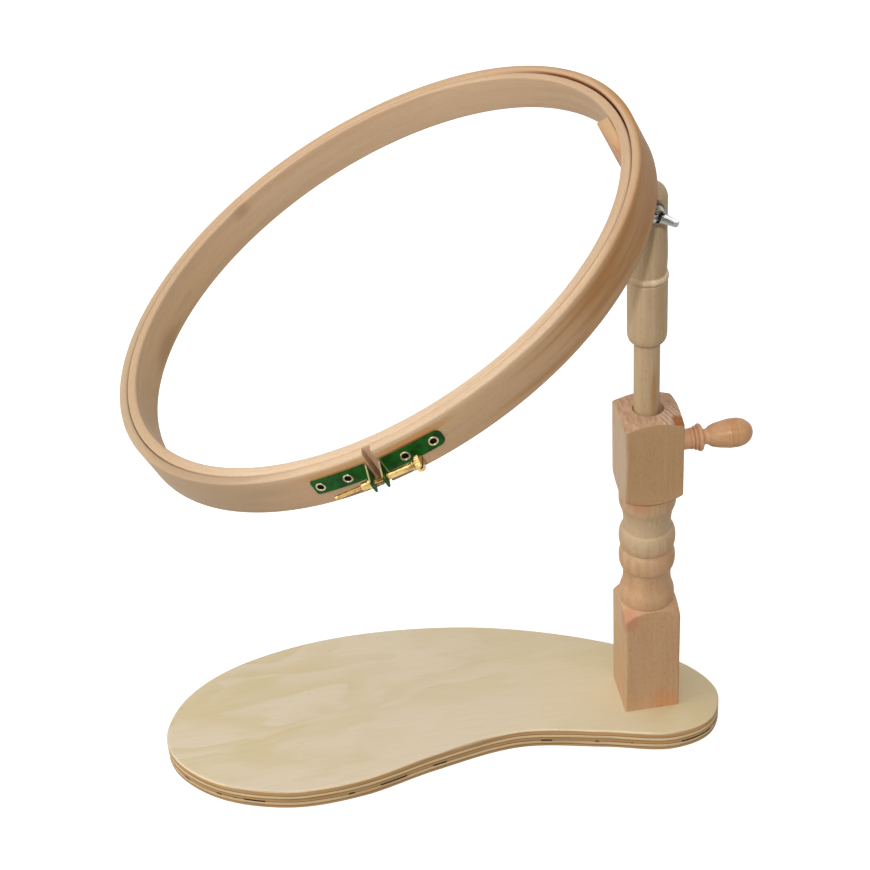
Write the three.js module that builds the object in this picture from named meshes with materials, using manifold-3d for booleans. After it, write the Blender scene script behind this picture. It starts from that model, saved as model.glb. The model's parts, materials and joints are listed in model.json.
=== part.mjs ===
// Seat embroidery hoop: a sit-on plywood base, a turned post, a sliding and swivelling stem,
// and a two-ring hoop that tilts on a wing-nut pivot.
// Millimetres, +Z up. The origin is on the underside of the base, on the axis of the post.
// X runs along the post's front face towards the clamp knob, Y runs to the back.

import * as THREE from 'three';
import { mergeVertices } from 'three/addons/utils/BufferGeometryUtils.js';
import Module from 'manifold-3d';

const wasm = await Module();
wasm.setup();

// Clearances
const FIT = 0.3;
const CUT_OVER = 5;

// Base board
const BASE_THICKNESS = 14.6;
const BASE_EDGE_EASE = 1.2;
const BASE_OUTLINE = [
  [-302, 22], [-290, 51], [-262, 73.5], [-215, 88], [-164, 91], [-104, 83.5], [-52, 67], [-4, 43],
  [31.4, 17], [43.6, -10], [33.4, -32], [8, -40], [-34, -30], [-85, -20], [-139, -29], [-185, -41],
  [-229, -42], [-272, -26], [-297, 0],
];
const BASE_OUTLINE_STEPS = 90;

// Screws that hold the post to the base, from below
const BASE_SCREW_SPREAD = 8;
const BASE_SCREW_SHANK_D = 4;
const BASE_SCREW_HEAD_D = 8;
const BASE_SCREW_HEAD_H = 3;
const BASE_SCREW_RIM_H = 0.4;
const BASE_SCREW_LENGTH = 45;
const BASE_SCREW_POINT_H = 4;

// Post: square stock with two square blocks and turned beads between them. Heights are above the board.
const POST_SIDE = 34;
const POST_CORNER_R = 0.8;
const LOWER_BLOCK_H = 70.9;
const LOWER_SHOULDER_H = 79;
const FLARE_H = 85;
const LOWER_NECK_H = 97;
const LOWER_BEAD_H = 110.5;
const UPPER_BEAD_H = 125.5;
const UPPER_NECK_H = 138.5;
const COLLAR_H = 154;
const UPPER_SHOULDER_H = 159.5;
const UPPER_BLOCK_H = 164.5;
const POST_TOP_H = 215.7;
const POST_DOME_RISE = 4.5;
const FLARE_R = 16.4;
const LOWER_NECK_R = 14.2;
const UPPER_NECK_R = 14;
const BEAD_R = 16.7;
const BEAD_HALF_H = 7;
const BEAD_ARC_DEG = 80;
const BEAD_GROOVE_R = 14.5;
const COLLAR_R = 16.7;
const COLLAR_GROOVE_R = 14.8;
const COLLAR_GROOVE_W = 1.4;
const BORE_PLAY = 1.2;
const BORE_MOUTH_FLARE = 0.4;

// Stem: a dowel that the clamp pushes to one side of the post's bore, with a turned head glued on it
const DOWEL_D = 14.5;
const DOWEL_EASE = 1;
const DOWEL_ENGAGED = 98;
const STEM_DROP = 30;
const BORE_SPARE = 5;
const HEAD_GAP = 45;
const HEAD_SOCKET = 20;
const HEAD_FOOT_LIP = 0.9;
const HEAD_CHAMFER_H = 3.6;
const HEAD_R = 11;
const HEAD_TO_BEAD = 41;
const HEAD_BEAD_R = 11.4;
const HEAD_BEAD_HALF_H = 2;
const HEAD_COVE_R = 10.5;
const HEAD_TO_PIVOT = 83.3;
const TONGUE_FOOT_R = 10.7;
const TONGUE_FOOT_RISE = 14;
const TONGUE_R = 10.3;
const TONGUE_SIDE_RISE = 27;
const TONGUE_DOME_RISE = 3.5;
const LAP_DROP = 12.5;
const SPOT_FACE_Z = 8.8;
const SPOT_FACE_MARGIN = 0.8;
const STEM_SWIVEL_DEG = 4.39;

// Clamp knob: a turned wooden thumbscrew along +X, with its pad against the dowel
const KNOB_DROP = 25.3;
const KNOB_SHANK_R = 5.8;
const KNOB_COLLAR_R = 6.1;
const KNOB_BEAD_R = 8.1;
const KNOB_NECK_R = 4.6;
const KNOB_BULB_R = 8.5;
const KNOB_COLLAR_L = 9.2;
const KNOB_BEAD_L = 6.6;
const KNOB_BULB_L = 28.4;
const KNOB_BULB_MID_L = 4;
const CLAMP_PAD_L = 2.5;
const CLAMP_PAD_R = 5;

// Pivot: bolt, washer and wing nut through the tongue and the hoop's lug
const PIVOT_BOLT_D = 6;
const PIVOT_BOLT_HEAD_D = 14;
const PIVOT_BOLT_HEAD_H = 3.6;
const PIVOT_BOLT_RIM_H = 0.8;
const PIVOT_BOLT_TAIL = 1.8;
const WASHER_D = 12;
const WASHER_T = 1.2;
const NUT_HUB_R = 5.6;
const NUT_HUB_TOP_R = 4.6;
const NUT_H = 7;
const NUT_WING_SPAN = 21;
const NUT_WING_H = 12;
const NUT_WING_T = 2.8;
const NUT_REST_DEG = 18;
const LUG_T = 10;
const LUG_R = 10;
const LUG_GAP = 0.4;

// Hoop: two bent rings, tilted about the pivot bolt. Its frame has X uphill, away from the low side.
const HOOP_TILT_DEG = 25.23;
const HOOP_SIDE_SHIFT = 33.5;
const RING_DEPTH = 22.3;
const OUTER_RING_R = 157.3;
const OUTER_RING_WALL = 5;
const INNER_RING_WALL = 5.7;
const RING_EDGE_R = 1.2;
const RING_SEGMENTS = 80;
const PIVOT_INSET = 16.3;
const LUG_DROP = 17.7;

// Bracket block inside the inner ring: a flat chord face, and a foot that carries the lug
const BLOCK_DEPTH = 6.8;
const BLOCK_BACK = 34.2;
const BLOCK_BLUNT = 2.8;
const BLOCK_TOP_DROP = 3;
const BLOCK_FOOT_H = 2.5;
const BOLT_HEAD_ROOM = 0.6;

// Tension hardware at the split in the outer ring
const SPLIT_DEG = -102.5;
const SPLIT_W = 4.6;
const PLATE_T = 0.8;
const PLATE_H = 8.6;
const PLATE_RISE = 0.5;
const PLATE_LEFT_L = 33.8;
const PLATE_RIGHT_L = 35;
const PLATE_LEFT_CORNER_R = 1;
const PLATE_RIGHT_CORNER_R = 3.2;
const EYELET_PITCH = 14.9;
const EYELET_HOLE_R = 1.6;
const EYELET_TUBE_R = 2.1;
const EYELET_RIM_R = 2.8;
const EYELET_RIM_H = 0.5;
const EAR_INSET = 0.6;
const EAR_T = 0.8;
const EAR_TIP = 4.5;
const EAR_TIP_HALF = 3.6;
const EAR_CORNER_R = 1.4;
const SCREW_OFFSET = 5.5;
const SCREW_DROP = 2.6;
const SCREW_THREAD_D = 2.2;
const SCREW_TIP = 23.8;
const SLEEVE_R = 1.8;
const SLEEVE_L = 13;
const SCREW_NECK_R = 2.8;
const SCREW_NECK_L = 2;
const SCREW_HEAD_R = 4.2;
const SCREW_HEAD_L = 3;
const SCREW_SLOT_W = 1;
const SCREW_SLOT_DEPTH = 1.2;
const TENSION_NUT_L = 5.6;
const TENSION_NUT_R = 2;
const TENSION_FLANGE_R = 2.6;
const TENSION_FLANGE_L = 2;

// Derived sizes
const POST_TOP_Z = BASE_THICKNESS + POST_TOP_H;
const BORE_R = DOWEL_D / 2 + BORE_PLAY;
const SOCKET_R = DOWEL_D / 2 + FIT;
const STEM_SHIFT = FIT - BORE_PLAY;
const KNOB_H = POST_TOP_H - KNOB_DROP;
const HEAD_BOTTOM_Z = POST_TOP_Z + HEAD_GAP;
const PIVOT_Z = HEAD_BOTTOM_Z + HEAD_TO_PIVOT;
const PIVOT_HOLE_R = PIVOT_BOLT_D / 2 + FIT;
const OUTER_RING_INNER_R = OUTER_RING_R - OUTER_RING_WALL;
const INNER_RING_R = OUTER_RING_INNER_R - FIT;
const INNER_RING_INNER_R = INNER_RING_R - INNER_RING_WALL;
const HOOP_REACH = OUTER_RING_R - PIVOT_INSET;
const HOOP_RISE = RING_DEPTH / 2 + LUG_DROP;
const WASHER_Z = SPOT_FACE_Z + FIT;
const NUT_Z = WASHER_Z + WASHER_T + FIT;
const LUG_BACK = LUG_GAP / 2 + LUG_T;
const PLATE_INNER_R = OUTER_RING_R + FIT / 2;
const SCREW_R = OUTER_RING_R + SCREW_OFFSET;
const EAR_X = SPLIT_W / 2 + EAR_INSET;
const SLEEVE_START = EAR_X + EAR_T + FIT;
const FINE = 32;
const MEDIUM = 22;
const SMALL = 14;
const radians = THREE.MathUtils.degToRad;

// Materials
const wood = (color, roughness = 0.6) => new THREE.MeshStandardMaterial({ color, roughness, metalness: 0 });
const metal = (color, roughness = 0.3) => new THREE.MeshStandardMaterial({ color, roughness, metalness: 1 });
const PLY = wood(0xd8c8a4);
const BEECH = wood(0xc49a74);
const RING_BEECH = wood(0xc3a27c);
const KNOB_WOOD = wood(0xcf9c6c, 0.4);
const BLOCK_WOOD = wood(0xd6a878);
const PAD_WOOD = wood(0x9c7448);
const BRASS = metal(0xdcb766);
const ZINC = metal(0xc6ccd0);
const STEEL = metal(0x9aa0a4);
const GREEN_PAINT = new THREE.MeshStandardMaterial({ color: 0x12602c, roughness: 0.45, metalness: 0.2 });

const root = new THREE.Group();

// Adds one named piece, with a material of its own, to a group
function piece(name, geometry, material, parent = root) {
  const mesh = new THREE.Mesh(geometry, material.clone());
  mesh.name = name;
  parent.add(mesh);
  return mesh;
}

function group(parent) {
  const made = new THREE.Group();
  parent.add(made);
  return made;
}

// Boolean helpers on closed geometries
function toSolid(geometry) {
  const bare = geometry.clone();
  for (const name of ['normal', 'uv']) bare.deleteAttribute(name);
  const merged = mergeVertices(bare, 1e-4);
  const vertProperties = new Float32Array(merged.attributes.position.array);
  const triVerts = new Uint32Array(merged.index.array);
  return new wasm.Manifold(new wasm.Mesh({ numProp: 3, vertProperties, triVerts }));
}

function toGeometry(solid) {
  const mesh = solid.getMesh();
  const geometry = new THREE.BufferGeometry();
  geometry.setAttribute('position', new THREE.BufferAttribute(new Float32Array(mesh.vertProperties), 3));
  geometry.setIndex(new THREE.BufferAttribute(new Uint32Array(mesh.triVerts), 1));
  geometry.computeVertexNormals();
  return geometry;
}

function cut(geometry, ...tools) {
  return toGeometry(tools.reduce((solid, tool) => solid.subtract(toSolid(tool)), toSolid(geometry)));
}

function join(geometry, ...others) {
  return toGeometry(others.reduce((solid, other) => solid.add(toSolid(other)), toSolid(geometry)));
}

function common(geometry, other) {
  return toGeometry(toSolid(geometry).intersect(toSolid(other)));
}

// Shape helpers
// A solid of revolution about Z from [radius, height] pairs that start and end on the axis
function turned(profile, segments = FINE) {
  const points = profile.map(([r, z]) => new THREE.Vector2(r, z));
  return new THREE.LatheGeometry(points, segments).rotateX(Math.PI / 2);
}

function cylinder(radius, low, high, segments = MEDIUM) {
  return turned([[0, low], [radius, low], [radius, high], [0, high]], segments);
}

function tube(inner, outer, low, high, segments = SMALL) {
  return turned([[inner, low], [outer, low], [outer, high], [inner, high], [inner, low]], segments);
}

function box(x0, x1, y0, y1, z0, z1) {
  const geometry = new THREE.BoxGeometry(x1 - x0, y1 - y0, z1 - z0);
  return geometry.translate((x0 + x1) / 2, (y0 + y1) / 2, (z0 + z1) / 2);
}

// A flat outline in XY, raised to a depth along +Z
function raised(shape, depth, curveSegments) {
  return new THREE.ExtrudeGeometry(shape, { depth, bevelEnabled: false, curveSegments });
}

// Points of an arc in the profile plane, from one angle to another, in degrees
function arc(r, z, radiusR, radiusZ, from, to, steps) {
  const points = [];
  for (let i = 0; i <= steps; i += 1) {
    const angle = radians(from + ((to - from) * i) / steps);
    points.push([r + radiusR * Math.cos(angle), z + radiusZ * Math.sin(angle)]);
  }
  return points;
}

// A turned bead: an arc that stands out from one radius to another
function bead(from, to, z, halfHeight, steps) {
  return arc(from, z, to - from, halfHeight, -BEAD_ARC_DEG, BEAD_ARC_DEG, steps);
}

function roundedSquare(side, radius) {
  const h = side / 2;
  const shape = new THREE.Shape();
  shape.moveTo(-h + radius, -h);
  shape.lineTo(h - radius, -h).quadraticCurveTo(h, -h, h, -h + radius);
  shape.lineTo(h, h - radius).quadraticCurveTo(h, h, h - radius, h);
  shape.lineTo(-h + radius, h).quadraticCurveTo(-h, h, -h, h - radius);
  shape.lineTo(-h, -h + radius).quadraticCurveTo(-h, -h, -h + radius, -h);
  return shape;
}

// Base board: kidney outline with eased edges and two countersunk screw holes
function baseBoard() {
  const corners = BASE_OUTLINE.map(([x, y]) => new THREE.Vector3(x, y, 0));
  const outline = new THREE.CatmullRomCurve3(corners, true, 'centripetal');
  const points = outline.getSpacedPoints(BASE_OUTLINE_STEPS).slice(0, -1);
  const shape = new THREE.Shape(points.map((p) => new THREE.Vector2(p.x, p.y)));
  const board = new THREE.ExtrudeGeometry(shape, {
    depth: BASE_THICKNESS - 2 * BASE_EDGE_EASE,
    bevelThickness: BASE_EDGE_EASE,
    bevelSize: BASE_EDGE_EASE,
    bevelOffset: -BASE_EDGE_EASE,
    bevelSegments: 2,
  }).translate(0, 0, BASE_EDGE_EASE);
  return cut(board, ...screwPlaces().map((x) => screwHole().translate(x, 0, 0)));
}

function screwPlaces() {
  return [-BASE_SCREW_SPREAD, BASE_SCREW_SPREAD];
}

// Hole for a countersunk wood screw with its head at the underside, open to the screw's full length
function screwHole() {
  const head = BASE_SCREW_HEAD_D / 2 + FIT;
  const shank = BASE_SCREW_SHANK_D / 2 + FIT;
  const top = BASE_SCREW_LENGTH + FIT;
  return turned([
    [0, -FIT],
    [head, -FIT],
    [head, BASE_SCREW_RIM_H],
    [shank, BASE_SCREW_HEAD_H + FIT],
    [shank, top],
    [0, top],
  ], SMALL);
}

function baseScrew() {
  const head = BASE_SCREW_HEAD_D / 2;
  const shank = BASE_SCREW_SHANK_D / 2;
  return turned([
    [0, FIT],
    [head - FIT, FIT],
    [head, BASE_SCREW_RIM_H],
    [shank, BASE_SCREW_HEAD_H],
    [shank, BASE_SCREW_LENGTH - BASE_SCREW_POINT_H],
    [0, BASE_SCREW_LENGTH],
  ], SMALL);
}

// Post: turned profile trimmed to the square of its stock, then bored. It stands on the board's top.
function post() {
  const half = POST_SIDE / 2;
  const reach = POST_SIDE / Math.SQRT2 + 1;
  const waist = (LOWER_BEAD_H + UPPER_BEAD_H) / 2;
  const collarTop = UPPER_SHOULDER_H - COLLAR_GROOVE_W;
  const corner = POST_TOP_H - POST_DOME_RISE;
  const mouth = BORE_R + BORE_MOUTH_FLARE;
  const profile = [
    [0, 0],
    [reach, 0],
    [reach, LOWER_BLOCK_H - 1],
    [half + 3.2, LOWER_SHOULDER_H - 2.4],
    [half, LOWER_SHOULDER_H],
    [FLARE_R, LOWER_SHOULDER_H + 0.6],
    [FLARE_R, FLARE_H],
    [LOWER_NECK_R + 0.6, FLARE_H + 6],
    [LOWER_NECK_R, LOWER_NECK_H],
    ...bead(BEAD_GROOVE_R, BEAD_R, LOWER_BEAD_H, BEAD_HALF_H, 5),
    [BEAD_GROOVE_R - 0.2, waist],
    ...bead(BEAD_GROOVE_R, BEAD_R, UPPER_BEAD_H, BEAD_HALF_H, 5),
    [UPPER_NECK_R, UPPER_NECK_H - 4],
    [UPPER_NECK_R, UPPER_NECK_H],
    [UPPER_NECK_R + 0.9, COLLAR_H - 8.5],
    [COLLAR_R, COLLAR_H - 3],
    [COLLAR_R, collarTop],
    [COLLAR_GROOVE_R, collarTop + 0.3],
    [COLLAR_GROOVE_R, UPPER_SHOULDER_H - 0.7],
    [half - 0.5, UPPER_SHOULDER_H - 0.4],
    [half + 3.4, UPPER_SHOULDER_H + 1.8],
    [reach, UPPER_BLOCK_H + 1],
    [reach, corner - 0.6],
    [half + 3.6, corner + 0.46 * POST_DOME_RISE],
    [half + 0.4, corner + 0.84 * POST_DOME_RISE],
    [mouth + 3, corner + 0.97 * POST_DOME_RISE],
    [mouth + 0.6, POST_TOP_H],
    [0, POST_TOP_H],
  ];
  const square = raised(roundedSquare(POST_SIDE, POST_CORNER_R), POST_TOP_H + CUT_OVER, 2);
  const boreBottom = POST_TOP_H - DOWEL_ENGAGED - STEM_DROP - BORE_SPARE;
  const bore = turned([
    [0, boreBottom],
    [BORE_R, boreBottom],
    [BORE_R, POST_TOP_H - 1.2],
    [mouth, POST_TOP_H],
    [mouth, POST_TOP_H + CUT_OVER],
    [0, POST_TOP_H + CUT_OVER],
  ], MEDIUM);
  const knobHole = cylinder(KNOB_SHANK_R + FIT, 0, POST_SIDE).rotateY(Math.PI / 2).translate(0, 0, KNOB_H);
  const pilots = screwPlaces().map((x) => screwHole().translate(x, 0, -BASE_THICKNESS));
  return cut(common(turned(profile, FINE), square), bore, knobHole, ...pilots);
}

// Stem: the dowel's height 0 is at its lower end, and the head's at its underside
function stemDowel() {
  const r = DOWEL_D / 2;
  const top = DOWEL_ENGAGED + HEAD_GAP + HEAD_SOCKET - FIT;
  return turned([[0, 0], [r - DOWEL_EASE, 0], [r, DOWEL_EASE], [r, top], [0, top]], MEDIUM);
}

function stemHead() {
  const dome = HEAD_TO_PIVOT + TONGUE_DOME_RISE;
  const beadTop = HEAD_TO_BEAD + HEAD_BEAD_HALF_H;
  const profile = [
    [0, 0],
    [DOWEL_D / 2 + HEAD_FOOT_LIP, 0],
    [HEAD_R - 1, HEAD_CHAMFER_H - 2.2],
    [HEAD_R, HEAD_CHAMFER_H],
    [HEAD_R, HEAD_TO_BEAD - HEAD_BEAD_HALF_H - 0.6],
    ...bead(HEAD_R - 0.4, HEAD_BEAD_R, HEAD_TO_BEAD, HEAD_BEAD_HALF_H, 4),
    [HEAD_COVE_R, beadTop + 2],
    [HEAD_COVE_R, beadTop + 5],
    [TONGUE_FOOT_R, HEAD_TO_BEAD + TONGUE_FOOT_RISE],
    [TONGUE_R, HEAD_TO_BEAD + TONGUE_SIDE_RISE],
    ...arc(0, dome, TONGUE_R, TONGUE_R, 0, 90, 8).slice(0, -1),
    [0, dome + TONGUE_R],
  ];
  const reach = HEAD_R + CUT_OVER;
  const halfLap = box(-reach, reach, -LUG_GAP / 2, reach, HEAD_TO_PIVOT - LAP_DROP, dome + reach);
  const socket = cylinder(SOCKET_R, -CUT_OVER, HEAD_SOCKET);
  const spotFace = cylinder(WASHER_D / 2 + SPOT_FACE_MARGIN, SPOT_FACE_Z, reach);
  const hole = cylinder(PIVOT_HOLE_R, -reach, reach, SMALL);
  const across = [spotFace, hole].map((tool) => tool.rotateX(Math.PI / 2).translate(0, 0, HEAD_TO_PIVOT));
  return cut(turned(profile, FINE), socket, halfLap, ...across);
}

// Clamp knob and its pad, made along +Z from the axis of the post
function clampKnob() {
  const face = POST_SIDE / 2;
  const collarEnd = face + KNOB_COLLAR_L;
  const beadMid = collarEnd + KNOB_BEAD_L / 2;
  const beadEnd = collarEnd + KNOB_BEAD_L;
  const bulbMid = beadEnd + KNOB_BULB_L / 2;
  const tipStart = bulbMid + KNOB_BULB_MID_L;
  const end = beadEnd + KNOB_BULB_L;
  const shankStart = clampPadStart() + CLAMP_PAD_L + FIT;
  return turned([
    [0, shankStart],
    [KNOB_SHANK_R, shankStart],
    [KNOB_SHANK_R, face + FIT],
    [KNOB_COLLAR_R + 0.3, face + FIT],
    [KNOB_COLLAR_R, collarEnd - 3],
    [KNOB_COLLAR_R, collarEnd - 0.6],
    ...bead(KNOB_COLLAR_R, KNOB_BEAD_R, beadMid, KNOB_BEAD_L / 2 - 0.4, 5),
    [KNOB_NECK_R + 0.6, beadEnd + 0.2],
    [KNOB_NECK_R, beadEnd + 0.9],
    [KNOB_NECK_R + 0.8, beadEnd + 2],
    [KNOB_BULB_R - 2.1, beadEnd + 3.2],
    [KNOB_BULB_R - 0.9, bulbMid - 7.2],
    [KNOB_BULB_R - 0.2, bulbMid - 0.6],
    ...arc(0, tipStart, KNOB_BULB_R, end - tipStart, 0, 90, 7).slice(0, -1),
    [0, end],
  ], MEDIUM);
}

function clampPadStart() {
  return STEM_SHIFT + DOWEL_D / 2 + FIT;
}

function clampPad() {
  return cylinder(CLAMP_PAD_R, clampPadStart(), clampPadStart() + CLAMP_PAD_L, SMALL);
}

// Pivot hardware, made along +Z, which points from the lap between tongue and lug to the near side
function pivotBolt() {
  const r = PIVOT_BOLT_D / 2;
  const headR = PIVOT_BOLT_HEAD_D / 2;
  const headFace = -(LUG_BACK + FIT);
  const rim = headFace - PIVOT_BOLT_RIM_H;
  const tail = NUT_Z + NUT_H + PIVOT_BOLT_TAIL;
  return turned([
    [0, headFace - PIVOT_BOLT_HEAD_H],
    ...arc(0, rim, headR, PIVOT_BOLT_HEAD_H - PIVOT_BOLT_RIM_H, -90, 0, 5).slice(1),
    [headR, headFace],
    [r, headFace],
    [r, tail - 0.6],
    [r - 0.6, tail],
    [0, tail],
  ], SMALL);
}

// Wing nut: a tapered hub and two wings that lean away from the tongue
function wingNut() {
  const hub = turned([
    [0, 0],
    [NUT_HUB_R, 0],
    [NUT_HUB_R, 1.5],
    [NUT_HUB_TOP_R, NUT_H],
    [0, NUT_H],
  ], SMALL);
  const root = NUT_HUB_TOP_R - 1.5;
  const tip = NUT_WING_SPAN / 2;
  const wing = new THREE.Shape();
  wing.moveTo(root, 1.4);
  wing.lineTo(tip - 0.6, NUT_WING_H - 3);
  wing.quadraticCurveTo(tip + 0.2, NUT_WING_H - 2, tip - 0.8, NUT_WING_H - 1.2);
  wing.lineTo(tip - 2, NUT_WING_H - 0.2);
  wing.quadraticCurveTo(tip - 3, NUT_WING_H + 0.4, tip - 4, NUT_WING_H - 0.8);
  wing.lineTo(root, NUT_H - 0.8);
  const right = raised(wing, NUT_WING_T, 4).rotateX(Math.PI / 2).translate(0, NUT_WING_T / 2, 0);
  const left = right.clone().rotateZ(Math.PI);
  const hole = cylinder(PIVOT_HOLE_R, -CUT_OVER, NUT_WING_H + CUT_OVER, SMALL);
  return cut(join(hub, right, left), hole);
}

// Rings: a rectangle with eased corners, swept round the hoop's axis
function ring(inner, outer) {
  const half = RING_DEPTH / 2;
  const e = RING_EDGE_R;
  const profile = [
    ...arc(outer - e, -half + e, e, e, -90, 0, 2),
    ...arc(outer - e, half - e, e, e, 0, 90, 2),
    ...arc(inner + e, half - e, e, e, 90, 180, 2),
    ...arc(inner + e, -half + e, e, e, 180, 270, 2),
  ];
  return turned([...profile, profile[0]], RING_SEGMENTS);
}

// Angle round the hoop, from the split, for a length measured on the outer ring's face
function faceAngle(length) {
  return length / OUTER_RING_R;
}

function eyeletPlaces() {
  return [-2, -1, 1, 2].map((step) => faceAngle(step * EYELET_PITCH));
}

// A shape made along +Z becomes radial at the split, with its height 0 on the ring's outer face
function radial(geometry) {
  return geometry.rotateX(Math.PI / 2).translate(0, -OUTER_RING_R, PLATE_RISE);
}

function eyeletHoles() {
  const hole = radial(cylinder(EYELET_TUBE_R + FIT, -OUTER_RING_WALL - CUT_OVER, CUT_OVER, SMALL));
  return eyeletPlaces().map((angle) => hole.clone().rotateZ(angle));
}

function outerRing() {
  const split = box(-SPLIT_W / 2, SPLIT_W / 2, -OUTER_RING_R - CUT_OVER, 0, -RING_DEPTH, RING_DEPTH);
  return cut(ring(OUTER_RING_INNER_R, OUTER_RING_R), split, ...eyeletHoles());
}

// Bracket: a chord-faced block inside the inner ring, a foot below the ring behind the lap, and the lug
function hoopBracket() {
  const seat = INNER_RING_INNER_R - FIT;
  const face = INNER_RING_INNER_R - BLOCK_DEPTH;
  const lapY = -HOOP_SIDE_SHIFT + LUG_GAP / 2;
  const near = BLOCK_BLUNT - Math.sqrt(seat ** 2 - face ** 2);
  const far = BLOCK_BACK - HOOP_SIDE_SHIFT;
  const below = -RING_DEPTH / 2 - FIT;
  const top = RING_DEPTH / 2 - BLOCK_TOP_DROP;
  const plan = new THREE.Shape();
  plan.moveTo(face, near);
  plan.absarc(0, 0, seat, Math.asin(near / seat), Math.asin(far / seat), false);
  plan.lineTo(face, far);
  plan.closePath();
  const block = raised(plan, top - below + BLOCK_FOOT_H, 8).translate(0, 0, below - BLOCK_FOOT_H);
  const outer = HOOP_REACH + LUG_R;
  const footLow = -HOOP_RISE + PIVOT_BOLT_HEAD_D / 2 + BOLT_HEAD_ROOM;
  const foot = box(face, outer, lapY, far, footLow, below);
  const web = box(face, outer, lapY, lapY + LUG_T, -HOOP_RISE, footLow + BOLT_HEAD_ROOM);
  const lug = cylinder(LUG_R, 0, LUG_T).rotateX(-Math.PI / 2).translate(HOOP_REACH, lapY, -HOOP_RISE);
  const hole = cylinder(PIVOT_HOLE_R, -LUG_T, LUG_T + CUT_OVER, SMALL).rotateX(-Math.PI / 2);
  return cut(join(block, foot, web, lug), hole.translate(HOOP_REACH, lapY, -HOOP_RISE));
}

// Plate: a strip curved to the ring's face, with an ear bent outwards at the split
function plate(length, endRadius) {
  const outer = PLATE_INNER_R + PLATE_T;
  const from = faceAngle(EAR_X) - Math.PI / 2;
  const to = faceAngle(length) - Math.PI / 2;
  const strip = new THREE.Shape();
  strip.absarc(0, 0, outer, from, to, false);
  strip.absarc(0, 0, PLATE_INNER_R, to, from, true);
  const half = PLATE_H / 2;
  const sheet = raised(strip, PLATE_H, 12).translate(0, 0, PLATE_RISE - half);
  const stop = outer * Math.cos(to);
  const front = new THREE.Shape();
  front.moveTo(0, -half);
  front.lineTo(stop - endRadius, -half);
  front.absarc(stop - endRadius, -half + endRadius, endRadius, -Math.PI / 2, 0, false);
  front.lineTo(stop, half - endRadius);
  front.absarc(stop - endRadius, half - endRadius, endRadius, 0, Math.PI / 2, false);
  front.lineTo(0, half);
  front.closePath();
  const trim = raised(front, OUTER_RING_R, 6).rotateX(Math.PI / 2);
  trim.translate(0, -OUTER_RING_R / 2, PLATE_RISE);
  return cut(join(common(sheet, trim), ear()), ...eyeletHoles());
}

// Reflects a piece to the other side of the split and turns its faces outwards again
function mirrorAcrossSplit(geometry) {
  const mirrored = geometry.clone().scale(-1, 1, 1);
  const index = mirrored.index.array;
  for (let i = 0; i < index.length; i += 3) {
    [index[i], index[i + 1]] = [index[i + 1], index[i]];
  }
  mirrored.computeVertexNormals();
  return mirrored;
}

// Ear: a tab that stands out beside the split and droops to the screw, drawn as [radius, height]
function ear() {
  const r = EAR_CORNER_R;
  const tip = SCREW_R + EAR_TIP;
  const top = EAR_TIP_HALF - SCREW_DROP;
  const low = -EAR_TIP_HALF - SCREW_DROP;
  const tab = new THREE.Shape();
  tab.moveTo(PLATE_INNER_R, PLATE_RISE - PLATE_H / 2);
  tab.lineTo(tip - r, low).quadraticCurveTo(tip, low, tip, low + r);
  tab.lineTo(tip, top - r).quadraticCurveTo(tip, top, tip - r, top);
  tab.lineTo(PLATE_INNER_R, PLATE_RISE + PLATE_H / 2);
  tab.closePath();
  const hole = new THREE.Path();
  hole.absarc(SCREW_R, -SCREW_DROP, SCREW_THREAD_D / 2 + FIT, 0, 2 * Math.PI, false);
  tab.holes.push(hole);
  const sheet = raised(tab, EAR_T, 8).rotateX(Math.PI / 2).rotateZ(-Math.PI / 2);
  return sheet.translate(EAR_X + EAR_T, 0, 0);
}

function eyelet() {
  const face = PLATE_T + FIT;
  const inside = -OUTER_RING_WALL + FIT;
  return radial(turned([
    [EYELET_HOLE_R, inside],
    [EYELET_TUBE_R, inside],
    [EYELET_TUBE_R, face],
    [EYELET_RIM_R, face],
    [EYELET_RIM_R - 0.3, face + EYELET_RIM_H * 0.7],
    [(EYELET_RIM_R + EYELET_HOLE_R) / 2, face + EYELET_RIM_H],
    [EYELET_HOLE_R, face + EYELET_RIM_H * 0.6],
    [EYELET_HOLE_R, inside],
  ], SMALL));
}

// Tension screw and its fittings, made along +Z from the middle of the split
function tensionScrew() {
  const r = SCREW_THREAD_D / 2;
  const neck = SLEEVE_START + SLEEVE_L + FIT;
  const head = neck + SCREW_NECK_L;
  const end = head + SCREW_HEAD_L;
  const body = turned([
    [0, -SCREW_TIP],
    [r - 0.4, -SCREW_TIP],
    [r, -SCREW_TIP + 0.6],
    [r, neck],
    [SCREW_NECK_R, neck],
    [SCREW_NECK_R, head],
    [SCREW_HEAD_R, head + 0.5],
    [SCREW_HEAD_R, end - 0.5],
    [SCREW_HEAD_R - 0.6, end],
    [0, end],
  ], SMALL);
  const half = SCREW_SLOT_W / 2;
  return cut(body, box(-half, half, -CUT_OVER, CUT_OVER, end - SCREW_SLOT_DEPTH, end + CUT_OVER));
}

function tensionSleeve() {
  return tube(SCREW_THREAD_D / 2 + FIT, SLEEVE_R, SLEEVE_START, SLEEVE_START + SLEEVE_L);
}

function tensionNut() {
  const bore = SCREW_THREAD_D / 2 + FIT;
  const step = SLEEVE_START + TENSION_FLANGE_L;
  const end = SLEEVE_START + TENSION_NUT_L;
  return turned([
    [bore, -end],
    [TENSION_NUT_R - 0.3, -end],
    [TENSION_NUT_R, -end + 0.4],
    [TENSION_NUT_R, -step - 0.4],
    [TENSION_FLANGE_R, -step],
    [TENSION_FLANGE_R, -SLEEVE_START],
    [bore, -SLEEVE_START],
    [bore, -end],
  ], SMALL);
}

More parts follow.
